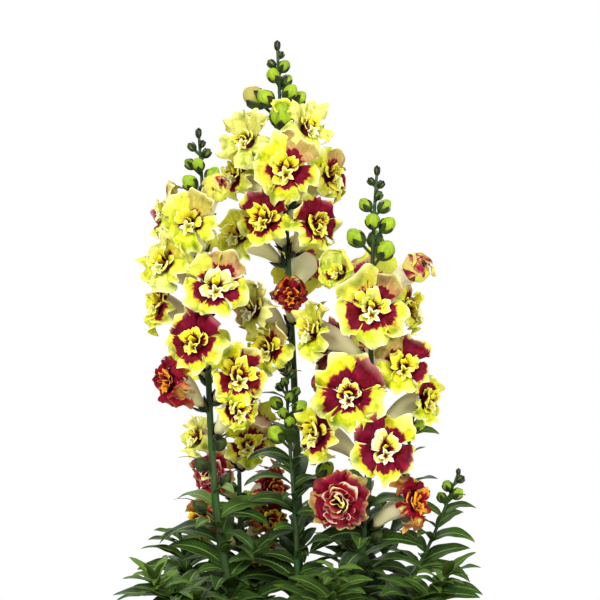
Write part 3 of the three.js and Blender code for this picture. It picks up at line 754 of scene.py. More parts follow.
# A sepal: a small pointed sheet on a cup, given the cup's axis, its profile (distance along, radius) and
# half widths.
def addSepal(shell, base, along, right, up, around, profile, widths, tint):
    t = np.linspace(0, 1, 6)[:, None]
    v = np.linspace(-1, 1, 4)[None, :]
    rows = np.linspace(0, 1, len(profile))
    distance = np.interp(t, rows, [q[0] for q in profile])
    radius = np.interp(t, rows, [q[1] for q in profile])
    a = around + np.interp(t, rows, widths) * v / np.maximum(radius, 1.2)
    out = right * np.cos(a)[..., None] + up * np.sin(a)[..., None]
    onwards, outwards = distance - 0.3 * np.abs(v), radius + 0.25 * (1 - v ** 2)
    points = base + along * onwards[..., None] + out * outwards[..., None]
    shell.sheet(points[:, ::-1], 0.35, vectors(t, -v), tint, finish=2)


# A bloom's stalk leaves the stem drop below its face, at lift degrees, and ends in a cup of five sepals.
def addStalk(shell, b, seed):
    plan = bloomPlan(b)
    away, base = plan["away"], plan["base"]
    right, up = crossAxes(away, up3)
    t = np.linspace(0.15, 1, 5)
    neck = base - away * calyx["depth"]
    shell.tube(rings(mix(plan["root"], neck, t[:, None]), right, up, stalk["radius"] * mix(0.9, 1.05, t), 8),
               plan["root"], neck + away * 0.3, (0.5, 0, 0), (0.3, 0, draw(seed, 3)), finish=0)
    cup = np.array([(-2.6, 1.0), (-1.6, 2.0), (-0.4, 2.9), (0.4, 3.1)])
    shell.tube(rings(base + away * cup[:, :1], right, up, cup[:, 1], 10), neck - away * 0.3,
               base + away * 0.6, (0.1, 0, 0), (0.5, 0, 0.4), finish=2)
    profile = [(-2.0, 1.6), (0.2, 3.4), (2.6, 4.5), (4.6, 5.0), (6.2, 5.7)]
    for k in range(calyx["sepals"]):
        around = math.radians(90 + 72 * k + 8 * spread(seed, k))
        addSepal(shell, base, away, right, up, around, profile, [1.0, 2.0, 2.3, 1.6, 0.15],
                 (0.7, 0, draw(seed, k + 9)))


# Buds and seed pods: height, degrees round the stem, distance out, radius. A tip bud stands on the stem's
# end.
buds = {
    "left": [
        (464, 0, 0, 2.6), (457, 40, 3, 2), (455, -80, 5.2, 2.5), (451, 75, 4.6, 2.7), (444, -85, 7.2, 3.2),
        (443.5, -12, 6.5, 3.9), (437.5, 62, 8.4, 4.5), (432, -52, 9.6, 4.8), (428, 165, 9, 4.8)],
    "centre": [
        (523, 0, 0, 2.7), (517, 140, 3.2, 2.2), (511, -100, 4.5, 2.6), (509, 50, 5.5, 3.6),
        (503, -30, 7, 4.3), (500, 130, 6.5, 4), (492, 58, 8.5, 4.8), (488, 104, 13, 5),
        (488, -58, 11, 5.4), (476, 4, 17, 7.8), (489, -98, 17, 7), (471, 172, 13, 5.8)],
    "right": [
        (440, 0, 0, 2.6), (433, -90, 3.4, 2.2), (431, 90, 3.4, 2.2), (424, 30, 4, 2.6), (418, -80, 6.2, 3.9),
        (417, 86, 6.5, 4), (407.5, -8, 8.5, 4.6), (405, 62, 9.8, 4.8), (397, -72, 12, 5.5),
        (389, 40, 12, 5.9), (396, 170, 11, 5.4)],
    "young": [
        (320, 0, 0, 1.8), (312, -60, 4, 1.9), (309, 60, 4.5, 2.2), (315, 10, 3.5, 1.9), (304, -14, 5.5, 2.6),
        (294, 16, 6.5, 3), (284, -20, 8, 3.4), (300, -100, 5, 2.4), (297, 80, 6, 2.8), (290, -70, 8, 4.0),
        (287, 70, 9, 4.4), (278, 10, 7, 3.6), (270, -56, 10, 5.2), (247, 82, 22, 5.2)],
    "right_side": [(244, 0, 0, 1.9), (239, 90, 3.4, 2.3), (235, -66, 4.8, 3.2), (230, 50, 5.4, 3.6),
                   (227, -90, 5, 3)],
    "right_back": [
        (290, 0, 0, 1.7), (284, 80, 3.6, 2.0), (281, -70, 3.8, 2.0), (279, -66, 8, 3.6), (274, 30, 8, 3.8),
        (268, -40, 7, 3.4)],
    "back": [(296, 0, 0, 2.2), (288, -70, 5, 3.0), (284, 70, 5, 3.0), (280, 176, 6, 3.4)],
    "left_side": [(238, 0, 0, 1.6), (231, -80, 4.6, 2.6), (225, 76, 5.4, 3.0)],
}
pods = {
    "left": [(264, 62, 7, 3.9), (251, -52, 9, 4.3), (240, 110, 8, 3.7), (223, -82, 11, 4.1)],
    "right": [(204, 66, 9, 4.0), (198, -100, 8, 3.6)],
}
budLook = {"sides": 14, "long": 1.25, "slim": 0.66, "crease": 0.1, "podRidge": 0.07, "opensAt": 7.2}


# An egg along its stalk's direction: radius r cos(pi k / 2)^0.62 from k = -1 to 1, with three turning
# folds, seated in sepals. The largest buds begin to open, and a pod is blunter, with a ridge on each side
# and a dried style.
def addBud(shell, stem, entry, pod=False):
    z, around, out, radius = entry
    p = stemPath(stem)
    middle = onPath(p, min(z, stem["path"][3][2] - 0.1))
    half = radius * budLook["long"]
    if out == 0:
        middle[2] = z
        away, root = up3, middle - up3 * half
    else:
        middle = middle + heading(around) * out
        root = onPath(p, z - out * 0.9 - 1)
        away = unit(middle - root)
    right, up = crossAxes(away, side3 if out == 0 else up3)
    seed = z + around
    radius = radius * (budLook["slim"] if out == 0 else 1)
    if out:
        t = np.linspace(0, 1, 4)
        centre = mix(root, middle - away * half * 0.9, t[:, None])
        shell.tube(rings(centre, right, up, mix(0.9, 1.1, t), 7), root - away * 0.2,
                   middle - away * half * 0.8, (0.5, 0, 0), (0.4, 0, 0.4), finish=0)
    k = np.linspace(-0.93, 0.95, 11)
    a = turns(budLook["sides"])
    body = (radius * np.cos(np.pi * k / 2) ** (0.5 if pod else 0.62))[:, None]
    if pod:
        body = body * (1 - budLook["podRidge"] * np.abs(np.cos(a)) ** 6)
    else:
        folds = np.cos(3 * a + 2.2 * k[:, None] + seed) * ease(-0.5, 0.5, k)[:, None]
        body = body * (1 + budLook["crease"] * folds)
    ripe = ease(1.8, 4.6, radius) * (0.25 if pod else 1)
    dark = 0.3 if pod else 1.1 - ease(1.6, 4.0, radius) - 0.5 * draw(seed, 2) * (stem["thick"][0] < 2.1)
    blush = 0.9 * ease(6.4, 7.0, radius) * ease(30, 60, abs(around))
    shell.tube(rings(middle + away * (k * half)[:, None], right, up, body, len(a)), middle - away * half,
               middle + away * half, vectors((k[:, None] + 1) / 2, np.cos(a), float(pod)),
               (ripe, dark, draw(seed, 1)), (blush, 0, 0), finish=3)
    if radius > budLook["opensAt"]:  # its lips begin to part: two above, two below
        face = {"right": right, "up": up, "normal": away}
        for i, (turn, reach, broad, light) in enumerate([(58, 0.5, 1.5, 1), (122, 0.44, 1.5, 1),
                                                         (196, 0.62, 1.0, 0.2), (344, 0.62, 1.0, 0.2)]):
            addCrownPetal(shell, face, middle + away * half * 0.45, math.radians(turn), radius * 0.72,
                          radius * reach, radius * 0.62, radius * broad, 0.3 * spread(seed, i),
                          radius * 0.2, (0, 0, light), draw(seed, i + 30), finish=4)
    if pod:  # the dried style
        t = np.linspace(0.85, 3.0, 7)
        centre = middle + away * (t * half)[:, None] - up * (1.6 * (t - 0.85) ** 2)[:, None]
        shell.tube(rings(centre, right, up, mix(0.42, 0.2, (t - 0.85) / 2.15), 6), centre[0] - away * 0.2,
                   centre[-1] + away * 0.2, (0.8, 0, 0), (1, 0, 0.2), finish=2)
    cover = mix(1.3, 0.82, float(ease(2.2, 4.6, radius)))
    profile = [(-1.05 * half, radius * 0.3), (-0.75 * half, radius * 0.78), (-0.35 * half, radius * 1.02),
               (mix(-0.35, cover - 0.55, 0.6) * half, radius * 1.08),
               ((cover - 0.55) * half, radius * (1.12 - 0.25 * cover))]
    widths = [radius * w for w in (0.25, 0.5, 0.52, 0.32, 0.04)]
    for i in range(calyx["sepals"]):
        addSepal(shell, middle, away, right, up, math.radians(72 * i + seed), profile, widths,
                 (0.5 + 0.4 * dark, 0.35 * ripe, draw(seed, i + 5)))


# Blooms, numbered up each stem's list: height of the face, degrees round the stem, distance out, the
# heading and rise of its look, radius, how far open, how worn, and its colouring.
bloomRows = {
    "left": [
        (413, -112, 27, -78, 20, 18, 0.8, 0, "stripe"), (407, -13, 31, -12, 18, 17.5, 1, 0, "fresh"),
        (426, 24, 19, 32, 30, 12.5, 0.4, 0, "blush"), (381, -49, 33, -40, 18, 18, 1, 0, "pale"),
        (367, 14, 33, 4, 18, 21, 1, 0, "peach"), (353, -110, 33, -66, 20, 18, 1, 0, "plum_side"),
        (332, -11, 31, -20, 16, 19.5, 1, 0, "plum"), (306, -49, 31, -52, 6, 18, 0.75, 1, "withered"),
        (310, 41, 31, 14, 14, 18, 1, 0, "wine"), (289, 39, 30, 26, 4, 14, 1, 0, "wine"),
        (398, -158, 30, -160, 20, 19, 1, 0, "lemon"), (322, -166, 31, -168, 20, 20, 1, 0, "lemon")],
    "centre": [
        (460, -58, 27, -30, 20, 19, 0.9, 0, "fan"), (468, 45, 25, 36, 24, 18, 0.85, 0, "fan"),
        (441, 4, 31, 0, 20, 21, 1, 0, "broken"), (437, 88, 31, 52, 18, 18, 1, 0, "broken"),
        (438, -98, 31, -60, 18, 17, 1, 0, "wine"), (409, -25, 32, -20, 18, 18, 1, 0, "plum"),
        (405, 38, 32, 38, 16, 18, 1, 0, "plum"), (398, -70, 34, -36, 20, 18, 1, 0, "pale"),
        (359, 1, 24, -2, 6, 15, 0.6, 1, "spent"), (350, -44, 34, -52, 14, 17, 1, 0, "shell"),
        (325, -29, 32, -30, 10, 16, 1, 0, "lemon"), (424, 175, 31, 178, 22, 20, 1, 0, "lemon"),
        (378, 160, 32, 165, 20, 20, 1, 0, "lemon")],
    "right": [
        (376, 66, 27, 42, 22, 13, 0.5, 0, "stripe"), (375, -56, 27, -36, 26, 16, 0.65, 0, "lime"),
        (353, -2, 33, -2, 18, 23, 1, 0, "peach"), (351, 118, 28, 76, 18, 17, 1, 0, "broken"),
        (337, -78, 38, -62, 18, 18, 1, 0, "pale"), (316, -122, 33, -104, 18, 19, 1, 0, "dusk"),
        (317, 37, 32, 6, 14, 18, 1, 0, "plum_side"), (299, -26, 33, -12, 14, 24, 1, 0, "mauve"),
        (292, 92, 36, 54, 8, 12.5, 1, 0, "side"), (272, -71, 36, -46, 8, 18.5, 1, 0, "wine"),
        (265, 15, 33, 6, 14, 21.5, 1, 0, "velvet"), (230, -35, 32, -12, 10, 18.5, 1, 0.5, "rose"),
        (228, 69, 32, 46, 14, 16, 0.8, 1, "withered"), (366, 178, 31, 180, 20, 20, 1, 0, "lemon"),
        (318, 172, 31, 176, 18, 20, 1, 0, "lemon")],
    "back": [
        (259, -81, 30, -52, 20, 14, 0.85, 0, "fan"), (257, 12, 28, 14, 20, 16, 1, 0, "lemon"),
        (262, 150, 28, 150, 20, 18, 1, 0, "lemon"), (236, -35, 31, -14, 12, 15, 1, 0.5, "rose"),
        (226, 46, 30, 44, 8, 15, 0.9, 1, "withered"),
        # spent ones low down behind the leaves, which have no node of their own
        (208, 32, 39, 20, 6, 13, 0.9, 1, "rust"), (203, -72, 28, -34, 4, 13, 0.9, 1, "rust"),
        (184, 23, 32, 8, 4, 13, 0.8, 1, "rust")],
}
bloomKeys = ("z", "around", "out", "look", "up", "r", "open", "worn", "colouring")
blooms = {"%s_%d" % (stem, i + 1): dict(zip(bloomKeys, row), stem=stem)
          for stem, rows in bloomRows.items() for i, row in enumerate(rows)}


# For each lobe (upper left, left, lower, right, upper right): how far the crimson reaches as a share of the
# radius, the tan blush, the gold. Then the crown's crimson, gold and paleness, and how the lobes and the
# crown differ in size.
def colouring(crimson, tan, gold, crown, upper=1, lower=1, narrow=1, small=1):
    return {"crimson": crimson, "tan": tan, "gold": gold, "crown": crown, "upper": upper, "lower": lower,
            "narrow": narrow, "small": small}


none, golden = (0, 0, 0, 0, 0), (1, 1, 1, 1, 1)
colourings = {
    "lemon": colouring((0.56, 0.7, 0.64, 0.7, 0.72), (0, 0.2, 0, 0.1, 0.85), (0.5, 0.3, 0.1, 0.2, 0.2),
                       (0.3, 0.5, 0.6)),
    "fresh": colouring((0.3, 0.52, 0.44, 0.52, 0.42), (0.15, 0.1, 0, 0.1, 0.6), (0.2, 0, 0, 0, 0.2),
                       (0.15, 0.3, 0.8)),
    "fan": colouring((0.2, 0.24, 0.24, 0.24, 0.2), (0.3, 0.1, 0, 0.1, 0.3), (0, 0.1, 0, 0.1, 0),
                     (0.4, 0.5, 0.9), upper=1.04, lower=1.04, small=0.95, narrow=0.8),
    "pale": colouring((0.3, 0.42, 0.26, 0.4, 0.46), (0.2, 0.1, 0, 0.1, 0.3), (0.5, 0.3, 0.1, 0.3, 0.7),
                      (0.3, 0.8, 0.7)),
    "peach": colouring((0.56, 0.72, 0.66, 0.68, 0.74), (0.3, 0.1, 0, 0.1, 0.95), (0.3, 0.1, 0, 0.1, 0.1),
                       (0.3, 0.2, 1.4)),
    "mauve": colouring((0.66, 0.7, 0.56, 0.62, 1.0), (0, 0.1, 0, 0.1, 0.5), (0.9, 0.3, 0.1, 0.3, 0.2),
                       (0.55, 0.6, 1.7)),
    "shell": colouring((0.3, 0.6, 0.24, 0.24, 0.26), (0.3, 0.9, 0.1, 0.1, 0.5), (0.1, 0, 0.1, 0.1, 0.1),
                       (0.5, 0.1, 1.7)),
    "plum_side": colouring((0.66, 0.5, 0.42, 0.8, 0.98), (0.8, 0.1, 0, 0, 0.2), (0.2, 0.2, 0.3, 0.6, 0.5),
                           (0.3, 0.5, 0.3)),
    "blush": colouring((0.5, 0.6, 0.5, 0.6, 0.55), (0.5, 0.4, 0.1, 0.2, 0.9), (-0.3, -0.2, -0.4, -0.2, -0.3),
                       (0.3, 0.1, 1.0), small=0.7),
    "broken": colouring((0.5, 0.64, 0.7, 0.74, 0.62), (0, 0.2, 0, 0, 0.9), (0.5, 0.4, 0.5, 0.5, 0.2),
                        (0.35, 0.2, 0.5), small=1.16),
    "wine": colouring((0.62, 0.74, 0.7, 0.74, 0.92), (0, 0.1, 0, 0.1, 0.5), (0.7, 0.3, 0.3, 0.3, 0.3),
                      (0.4, 0.5, 0.6)),
    "plum": colouring((0.96, 0.76, 0.66, 0.76, 1.04), (0.2, 0, 0, 0.1, 0.6), (0.5, 0.3, 0.2, 0.3, 0.3),
                      (0.5, 0.6, 0.2)),
    "dusk": colouring((1.5, 1.4, 1.2, 1.4, 1.5), none, (0.4, 0.4, 0.3, 0.4, 0.4), (0.5, 0.6, 0.3),
                      upper=1.3, lower=1.2, narrow=1.15),
    "lime": colouring((0.3, 0.66, 0.3, 0.35, 0.4), (0.1, 0.1, 0.2, 0, 0.3), (-0.7, -0.6, -0.5, -0.8, -0.6),
                      (0.1, 0.1, 0.5), upper=1.28, lower=1.24, small=0.9),
    "velvet": colouring((1.04, 0.84, 0.68, 0.86, 0.66), none, (0.5, 0.4, 0.3, 0.5, 0.8), (0.4, 0.4, 2.2)),
    "rose": colouring((1.1, 0.84, 0.92, 0.86, 1.0), (0.9, 0.9, 0.9, 0.9, 0.9), (0.8, 0.5, 0.5, 0.5, 0.5),
                      (1.0, 0.4, 0.2), upper=0.92, lower=0.92, narrow=1.2),
    "withered": colouring((1.0, 0.8, 0.84, 0.8, 1.0), (0.2, 0.3, 0.3, 0.2, 0.2), golden, (0.8, 0.9, -0.9),
                          narrow=0.72),
    "stripe": colouring((1.0, 1.2, 0.8, 0.4, 0.5), (0.6, 0, 0, 0, 0.7), (-0.2, -0.2, -0.4, -0.3, -0.2),
                        (0.3, 0.1, 1.0), upper=1.2, lower=1.1, small=0.9),
    "side": colouring((1.0, 0.56, 0.5, 0.8, 1.0), (0, 0, 0, 0.1, 0), (0.4, 0.4, 0.4, 0.7, 0.7),
                      (0.5, 0.6, 0.3), upper=1.2, lower=1.25),
    "rust": colouring((0.7, 0.5, 0.6, 0.5, 0.9), (0.2, 0.2, 0.3, 0.2, 0.2), (1, 0.6, 1, 0.6, 1),
                      (0.6, 0.9, -0.4), narrow=0.8),
    "spent": colouring((1.2, 1.0, 1.0, 1.0, 1.2), none, golden, (1.0, 0.9, -0.9),
                       upper=1.3, lower=1.15, narrow=0.8, small=1.15),
}
petal = {
    "rows": 15, "cols": 23, "size": 1.06, "thick": 0.5, "ruffle": 0.15, "frill": 0.06, "fold": 0.2,
    "tilt": 0.09, "crumple": 0.09, "angles": (124, 202, 270, 338, 56),
    "halfWidths": (0.6, 0.5, 0.48, 0.5, 0.6),
}
mouth = {"baseRadius": 3.1, "midRadius": 6.6, "radius": 9.3, "tubeSides": 24, "tubeRows": 15}


def bloomPlan(b):
    stem = stems[b["stem"]]
    p = stemPath(stem)
    t = atHeight(p, b["z"] - stalk["drop"])
    root = bezier(p, t)[0]
    away = heading(b["around"], stalk["lift"])
    base = root + away * (mix(*stem["thick"], t ** 1.3) + stalk["length"])
    face = onPath(p, b["z"]) + heading(b["around"]) * b["out"]
    normal = heading(b["look"], b["up"])
    right, up = crossAxes(normal, up3)
    opening = min(1, (b["open"] - 0.3) / 0.6)
    scale = mix(0.7, 1, min(1, b["r"] / 20)) * mix(0.8, 1, b["open"])
    return {
        "root": root, "away": away, "base": base, "face": face, "normal": normal, "right": right, "up": up,
        "opening": opening, "scale": scale, "mouth": mouth["radius"] * scale, "seed": b["z"] + b["around"],
    }


# outwards and sideways in a bloom's face at an angle
def faceAxes(plan, angle):
    out = plan["right"] * math.cos(angle) + plan["up"] * math.sin(angle)
    return out, plan["right"] * math.sin(angle) - plan["up"] * math.cos(angle)


# The tube widens along a Bezier axis from the calyx to the mouth, with two soft flutes below and five faint
# ribs, turns over its lip and comes back as the throat.
def addTube(shell, plan):
    base, away, face, normal, scale = plan["base"], plan["away"], plan["face"], plan["normal"], plan["scale"]
    gap = np.linalg.norm(face - base)
    axis = np.array([base, base + away * gap * 0.4, face - normal * gap * 0.4, face])
    sides, rows = mouth["tubeSides"], mouth["tubeRows"]
    t = np.linspace(0.05, 1, rows)
    right, up = crossAxes(bezierAlong(axis, t), plan["up"])
    wide = [1.6, 2.8, mouth["baseRadius"] + 0.2, 5.0 * scale, mouth["midRadius"] * scale, 8.1 * scale,
            plan["mouth"]]
    radius = np.interp(t, [0.03, 0.08, 4.2 / gap, 0.33, 0.5, 0.76, 1], wide)
    a = turns(sides, 90)
    ribs = 1 + (0.02 * np.cos(5 * a) - 0.05 * np.cos(2 * a) * np.sin(np.pi * t)[:, None])
    outer = rings(bezier(axis, t), right, up, radius[:, None] * ribs, sides, 90)
    lip = np.array([(0.99, -0.1), (0.92, -0.7), (0.8, -2.2), (0.68, -3.6), (0.5, -5.2), (0.3, -6.4)])
    inner = rings(face + normal * lip[:, 1:], plan["right"], plan["up"], lip[:, 0] * plan["mouth"], sides, 90)
    along = np.concatenate([t, np.ones(len(lip))])[:, None]
    inside = np.arange(rows + len(lip))[:, None] > rows
    shell.tube(np.concatenate([outer, inner]), base + away * 0.5, face - normal * 6.6,
               vectors(along, np.cos(a), inside),
               (draw(plan["seed"], 5) ** 2 * 0.8, 0, draw(plan["seed"], 6)), finish=1)


# shifts points by sines of their own coordinates, the same for every point at the same place
def crumple(points, seed, amount):
    x, y, z = np.moveaxis(points, -1, 0)
    turn = seed * 1.7
    shift = np.stack([np.sin(0.62 * y + 0.45 * z + turn), np.sin(0.55 * z + 0.5 * x + 2 * turn),
                      np.sin(0.6 * x + 0.52 * y + 3 * turn)], -1)
    fine = np.stack([np.sin(1.5 * z + turn), np.sin(1.6 * x + turn), np.sin(1.4 * y + turn)], -1)
    return points + amount * (shift + 0.4 * fine)


# A lobe on (u, v), throat to tip and side to side. Near the mouth it follows the circle; further out it is
# a blade as wide as sin(90 v) whose end is the round cap 1 - cos(90 v). A half-open lobe arches over the
# mouth instead. Then it waves: sines of v whose size grows with u, finer near the rim, sines of u along its
# sides, a fold along its middle, a rolled end and a tilt that lays each lobe over the next.
def addLobe(shell, b, plan, k, colours):
    u = np.linspace(0, 1, petal["rows"])[:, None] ** 0.9
    v = np.linspace(-1, 1, petal["cols"])[None, :]
    r, rim, seed, opening = b["r"], plan["mouth"], plan["seed"] + 11 * k, plan["opening"]
    upper = k in (0, 4)
    opened, flat = mix(0.62, 1, opening), ease(0.15, 0.95, opening)
    longer = colours["upper" if upper else "lower"] * (1 + 0.2 * b["worn"] * spread(seed, 17))
    end = r * opened * petal["size"] * (1.05 if upper else 0.98) * longer * (1 + 0.06 * spread(seed, 1))
    stops = [0, 0.14, 0.25, 0.5, 0.8, 1]
    reach = [0.45 * rim, 0.84 * rim, 1.01 * rim, mix(rim, end, 0.34), mix(rim, end, 0.74), end]
    distance = mix(np.interp(u, stops, np.array([0.45, 0.84, 1.04, 1.3, 1.0, 0.28]) * rim),
                   np.interp(u, stops, reach), flat)
    height = mix(np.interp(u, stops, np.array([-0.4, -0.1, 0.1, 0.5, 1.15, 1.5]) * rim),
                 np.interp(u, stops, [-3.6, -1.0, 0.7, 1.9, 1.5, 0.4]), flat)
    height = (height + (0.10 if upper else -0.15) * r * ease(0.45, 1, u) * opening
              + 0.09 * r * spread(seed, 2) * ease(0.4, 1, u))
    beta = v * math.radians(36)
    outer = ease(0.16, 0.5, u)
    broad = (r * petal["halfWidths"][k] * mix(0.8, 1, opening) * longer * (1 + 0.08 * spread(seed, 14))
             * colours["narrow"])
    sweep = np.pi / 2 * v
    blade = broad * np.interp(u, [0.16, 0.34, 0.56, 0.8, 1], [0.62, 0.72, 0.9, 1.02, 1.0]) * np.sin(sweep)
    across = mix(distance * np.sin(beta), blade, outer)
    cap = (end - rim * 0.9) * np.interp(u, [0.16, 0.5, 0.8, 1], [0, 0.08, 0.32, 0.6]) * (1 - np.cos(sweep))
    radial = mix(distance * np.cos(beta), distance - cap, outer)
    radial = radial - (1 - opening) * across ** 2 / (2 * np.maximum(distance, 3))
    phase = [2 * np.pi * draw(seed, i + 3) for i in range(6)]
    notch = 0.1 * np.exp(-((v - 0.4 * spread(seed, 12)) / 0.2) ** 2) * draw(seed, 13)
    frill = petal["frill"] * (np.cos(5 * v + phase[0]) + 0.6 * np.cos(10 * v + phase[1])) * (1 - v ** 6)
    radial = radial + end * u ** 4 * (frill - notch)
    across = across * (1 + 0.05 * np.sin(8 * u + phase[5]) * ease(0.4, 0.8, u))
    wave = petal["ruffle"] * (
        u ** 1.2 * np.sin(3.1 * v + phase[2]) + 0.9 * u ** 2 * np.sin(6.6 * v + 1.5 * u + phase[3])
        + 0.75 * u ** 3 * np.sin(11 * v + phase[4]) * (1 - 0.8 * v ** 4))
    side = np.abs(v) ** 3 * petal["ruffle"] * np.sin(8 * u + phase[5] + 2 * np.sign(v)) * ease(0.35, 0.7, u)
    fold = petal["fold"] * spread(seed, 15) * (1 - np.abs(v)) ** 1.5 * ease(0.3, 1, u)
    roll = (0.2 * spread(seed, 16) - 0.5 * (b["worn"] == 1)) * ease(0.5, 1, u) ** 2
    tilt = petal["tilt"] * r * v * ease(0.2, 0.8, u)
    height = height + r * (wave + side + fold + roll) * mix(0.5, 1, opening) + tilt
    out, beside = faceAxes(plan, math.radians(petal["angles"][k] + 6 * spread(seed, 9)))
    points = (plan["face"] + out * radial[..., None] + beside * across[..., None]
              + plan["normal"] * height[..., None])
    if b["worn"]:
        points = crumple(points, seed, petal["crumple"] * r * b["worn"])
    # low is high where the waves and the middle fold dip: tone's third number is the painted shade mask
    # there, and below zero it marks the crests for painted highlight
    low = -(wave + side + 0.6 * fold) / petal["ruffle"]
    tone = vectors(u, draw(seed, 20), np.clip(low * 0.8, -1, 1) * ease(0.2, 0.5, u))
    tint = (colours["crimson"][k] + 0.05 * spread(seed, 21), colours["tan"][k], colours["gold"][k])
    thick = petal["thick"] * (1 - 0.65 * ease(0.6, 1, u)) * (1 - 0.4 * np.abs(v) ** 3)
    shell.sheet(points, thick, vectors(np.hypot(radial, across) / (r * opened), v), tint, tone, finish=0)


# A crown petal on (u, v): a fan on a narrow root that climbs forward from root to tip with sin(1.75 u),
# cups with v^2, curls at its end and twists on the way. Its rim waves with sines of v that grow with u^2.
def addCrownPetal(shell, plan, centre, angle, root, tip, rise, width, twist, curl, tint, hue, finish=2):
    u = np.linspace(0, 1, 10)[:, None]
    v = np.linspace(-1, 1, 13)[None, :]
    out, beside = faceAxes(plan, angle)
    sweep = np.pi / 2 * v
    cap = width * (0.34 * (1 - np.cos(sweep)) + 0.04 * np.cos(6 * v + hue * 20)) * u ** 3
    radial = mix(root, tip, u ** 1.2) + curl * ease(0.5, 1, u) ** 2
    height = -1.5 + (rise + 1.5) * np.sin(u * 1.75)
    wide = width / 2 * np.interp(u, [0, 0.25, 0.55, 0.85, 1], [0.28, 0.55, 0.92, 1.12, 1.08])
    turn = twist * u
    cup = 0.3 * wide * v ** 2
    ripple = width * (0.14 * np.sin(3.2 * v + hue * 12) * u
                      + (0.13 * np.sin(6.5 * v + 2 * u + hue * 31) + 0.05 * np.sin(12 * v + hue * 47))
                      * u ** 2)
    across = wide * np.sin(sweep) * np.cos(turn)
    lift = wide * np.sin(sweep) * np.sin(turn) + ripple
    slope = abs(tip - root) / (abs(tip - root) + rise)  # the cap is taken off along the petal's own length
    radial, height = radial - cap * slope, height - cap * (1 - slope)
    points = (centre + out * (radial - cup + 0.6 * lift)[..., None] + beside * across[..., None]
              + plan["normal"] * (height + 0.8 * lift)[..., None])
    # tone's first number is the painted shade mask, strongest in the troughs of the rim's ripples
    tone = vectors(np.clip(0.2 - 4 * ripple / width, 0, 1), hue)
    shell.sheet(points, 0.45 - 0.25 * u, vectors(u, v), tint, tone, finish=finish)


# how many, first angle, step, root, reach, rise, width, twist, curl, crimson share, gold, pale; lengths
# before scaling
whorls = {
    "skirt": (3, 15, 120, 3.2, 10.4, 2.6, 7.4, 0.6, 1.2, 1.1, 0.2, 0.5),
    "hood": (2, 50, 80, 2.6, 7.8, 8.6, 9.2, 0.5, 2.4, 0.8, 0.1, 1.0),
    "cheeks": (2, 192, 156, 3.0, 8.8, 5.4, 6.8, 0.6, 1.6, 1.0, 0.2, 0.8),
    "tongue": (1, 92, 0, 0.2, 2.2, 6.6, 4.6, 0.8, 2.2, 0.3, 1.4, 0.0),
}
rosette = {"petals": 17, "turn": 137.5, "widest": 0.72, "step": 0.038}


# a full rosette: ever smaller petals in a spiral, redder outside
def addRosette(shell, b, plan, crimson):
    seed = plan["seed"]
    for i in range(rosette["petals"]):
        ring = b["r"] * (rosette["widest"] - rosette["step"] * i) * (1 + 0.1 * spread(seed, i + 230))
        angle = math.radians(rosette["turn"] * i + 14 * spread(seed, i + 235))
        red = crimson * mix(1.05, mix(0.45, 1.1, draw(seed, i + 260)), min(1, i / 7))
        tint = (red, 0.5 * draw(seed, i + 265), mix(0.2, 1.4, draw(seed, i + 270)))
        addCrownPetal(shell, plan, plan["face"], angle, ring * 0.4, ring, 2.2 + 0.5 * i, 6.5 + ring * 0.75,
                      0.25 * spread(seed, i + 240), 2.5 * spread(seed, i + 245) - 0.6, tint,
                      draw(seed, i + 250))


# The crown: a skirt round the mouth, a hood above, a cheek on each side, tongues in the middle and a
# five-pointed funnel below, whose radius grows with u^2 to 4.4 + 1.7 cos(5a) and whose wall turns back at
# the rim.
def addCrown(shell, b, plan, colours):
    seed, normal, upwards = plan["seed"], plan["normal"], plan["up"]
    size = plan["scale"] * mix(0.35, 0.94, plan["opening"]) * colours["small"] * (1 + 0.1 * spread(seed, 29))
    crimson, gold, pale = colours["crown"]
    if b["colouring"] == "rose":
        addRosette(shell, b, plan, crimson)
        return
    for w, row in enumerate(whorls.values()):
        count, first, step, root, reach, rise, width, twist, curl, red, yellow, light = row
        for i in range(count):
            q = 20 * w + i
            angle = math.radians(first + step * i + 26 * spread(seed, q + 30))
            grow = size * (1 + 0.24 * spread(seed, q + 40))
            shade = mix(0.35, 1.1, draw(seed, q + 90))
            tint = (crimson * red, mix(gold, yellow, 0.5), pale * light * shade if pale > 0 else pale)
            climb = rise * size * (1 + 0.18 * spread(seed, q + 50))
            addCrownPetal(shell, plan, plan["face"], angle, root * size, reach * grow, climb, width * grow,
                          twist * spread(seed, q + 60), curl * grow * spread(seed, q + 70), tint,
                          draw(seed, q + 80))
    u = np.concatenate([np.linspace(0, 1, 7), np.linspace(0.94, 0.1, 6)])[:, None]
    inner = np.concatenate([np.zeros(7), np.ones(6)])[:, None]
    a = turns(20, 90)
    star = np.cos(5 * (a + np.pi))
    radius = (1.4 + (3.0 + 1.7 * star) * u ** 2 - 0.35 * inner) * size
    height = (-1 + 7.0 * u - 0.5 * star * u ** 2) * size
    centre = plan["face"] - upwards * 4.9 * size
    points = (centre + plan["right"] * (np.cos(a) * radius)[..., None]
              + upwards * (np.sin(a) * radius)[..., None]
              + normal * height[..., None] - upwards * (1.0 * size * u ** 2)[..., None])
    # the funnel's tone is painted shade on its inner wall, growing deeper towards the bottom
    shell.tube(points, centre - normal * 1.4 * size, centre + normal * 0.4 * size, vectors(u, np.cos(a)),
               (crimson * 0.6, gold * 0.3, 1.2 * pale), vectors(inner * (1 - u), draw(seed, 190)), finish=2)


def makeBloom(name, b):
    plan, colours, shell = bloomPlan(b), colourings[b["colouring"]], Shell()
    addTube(shell, plan)
    for k in range(len(petal["angles"])):
        addLobe(shell, b, plan, k, colours)
    addCrown(shell, b, plan, colours)
    finishes = [petalPaint[b["worn"]], tubePaint, crownPaint]
    return shell.piece("petals_" + name, finishes, "bloom_" + name,
                       "faded_petal" if b["worn"] else "petal")[1]


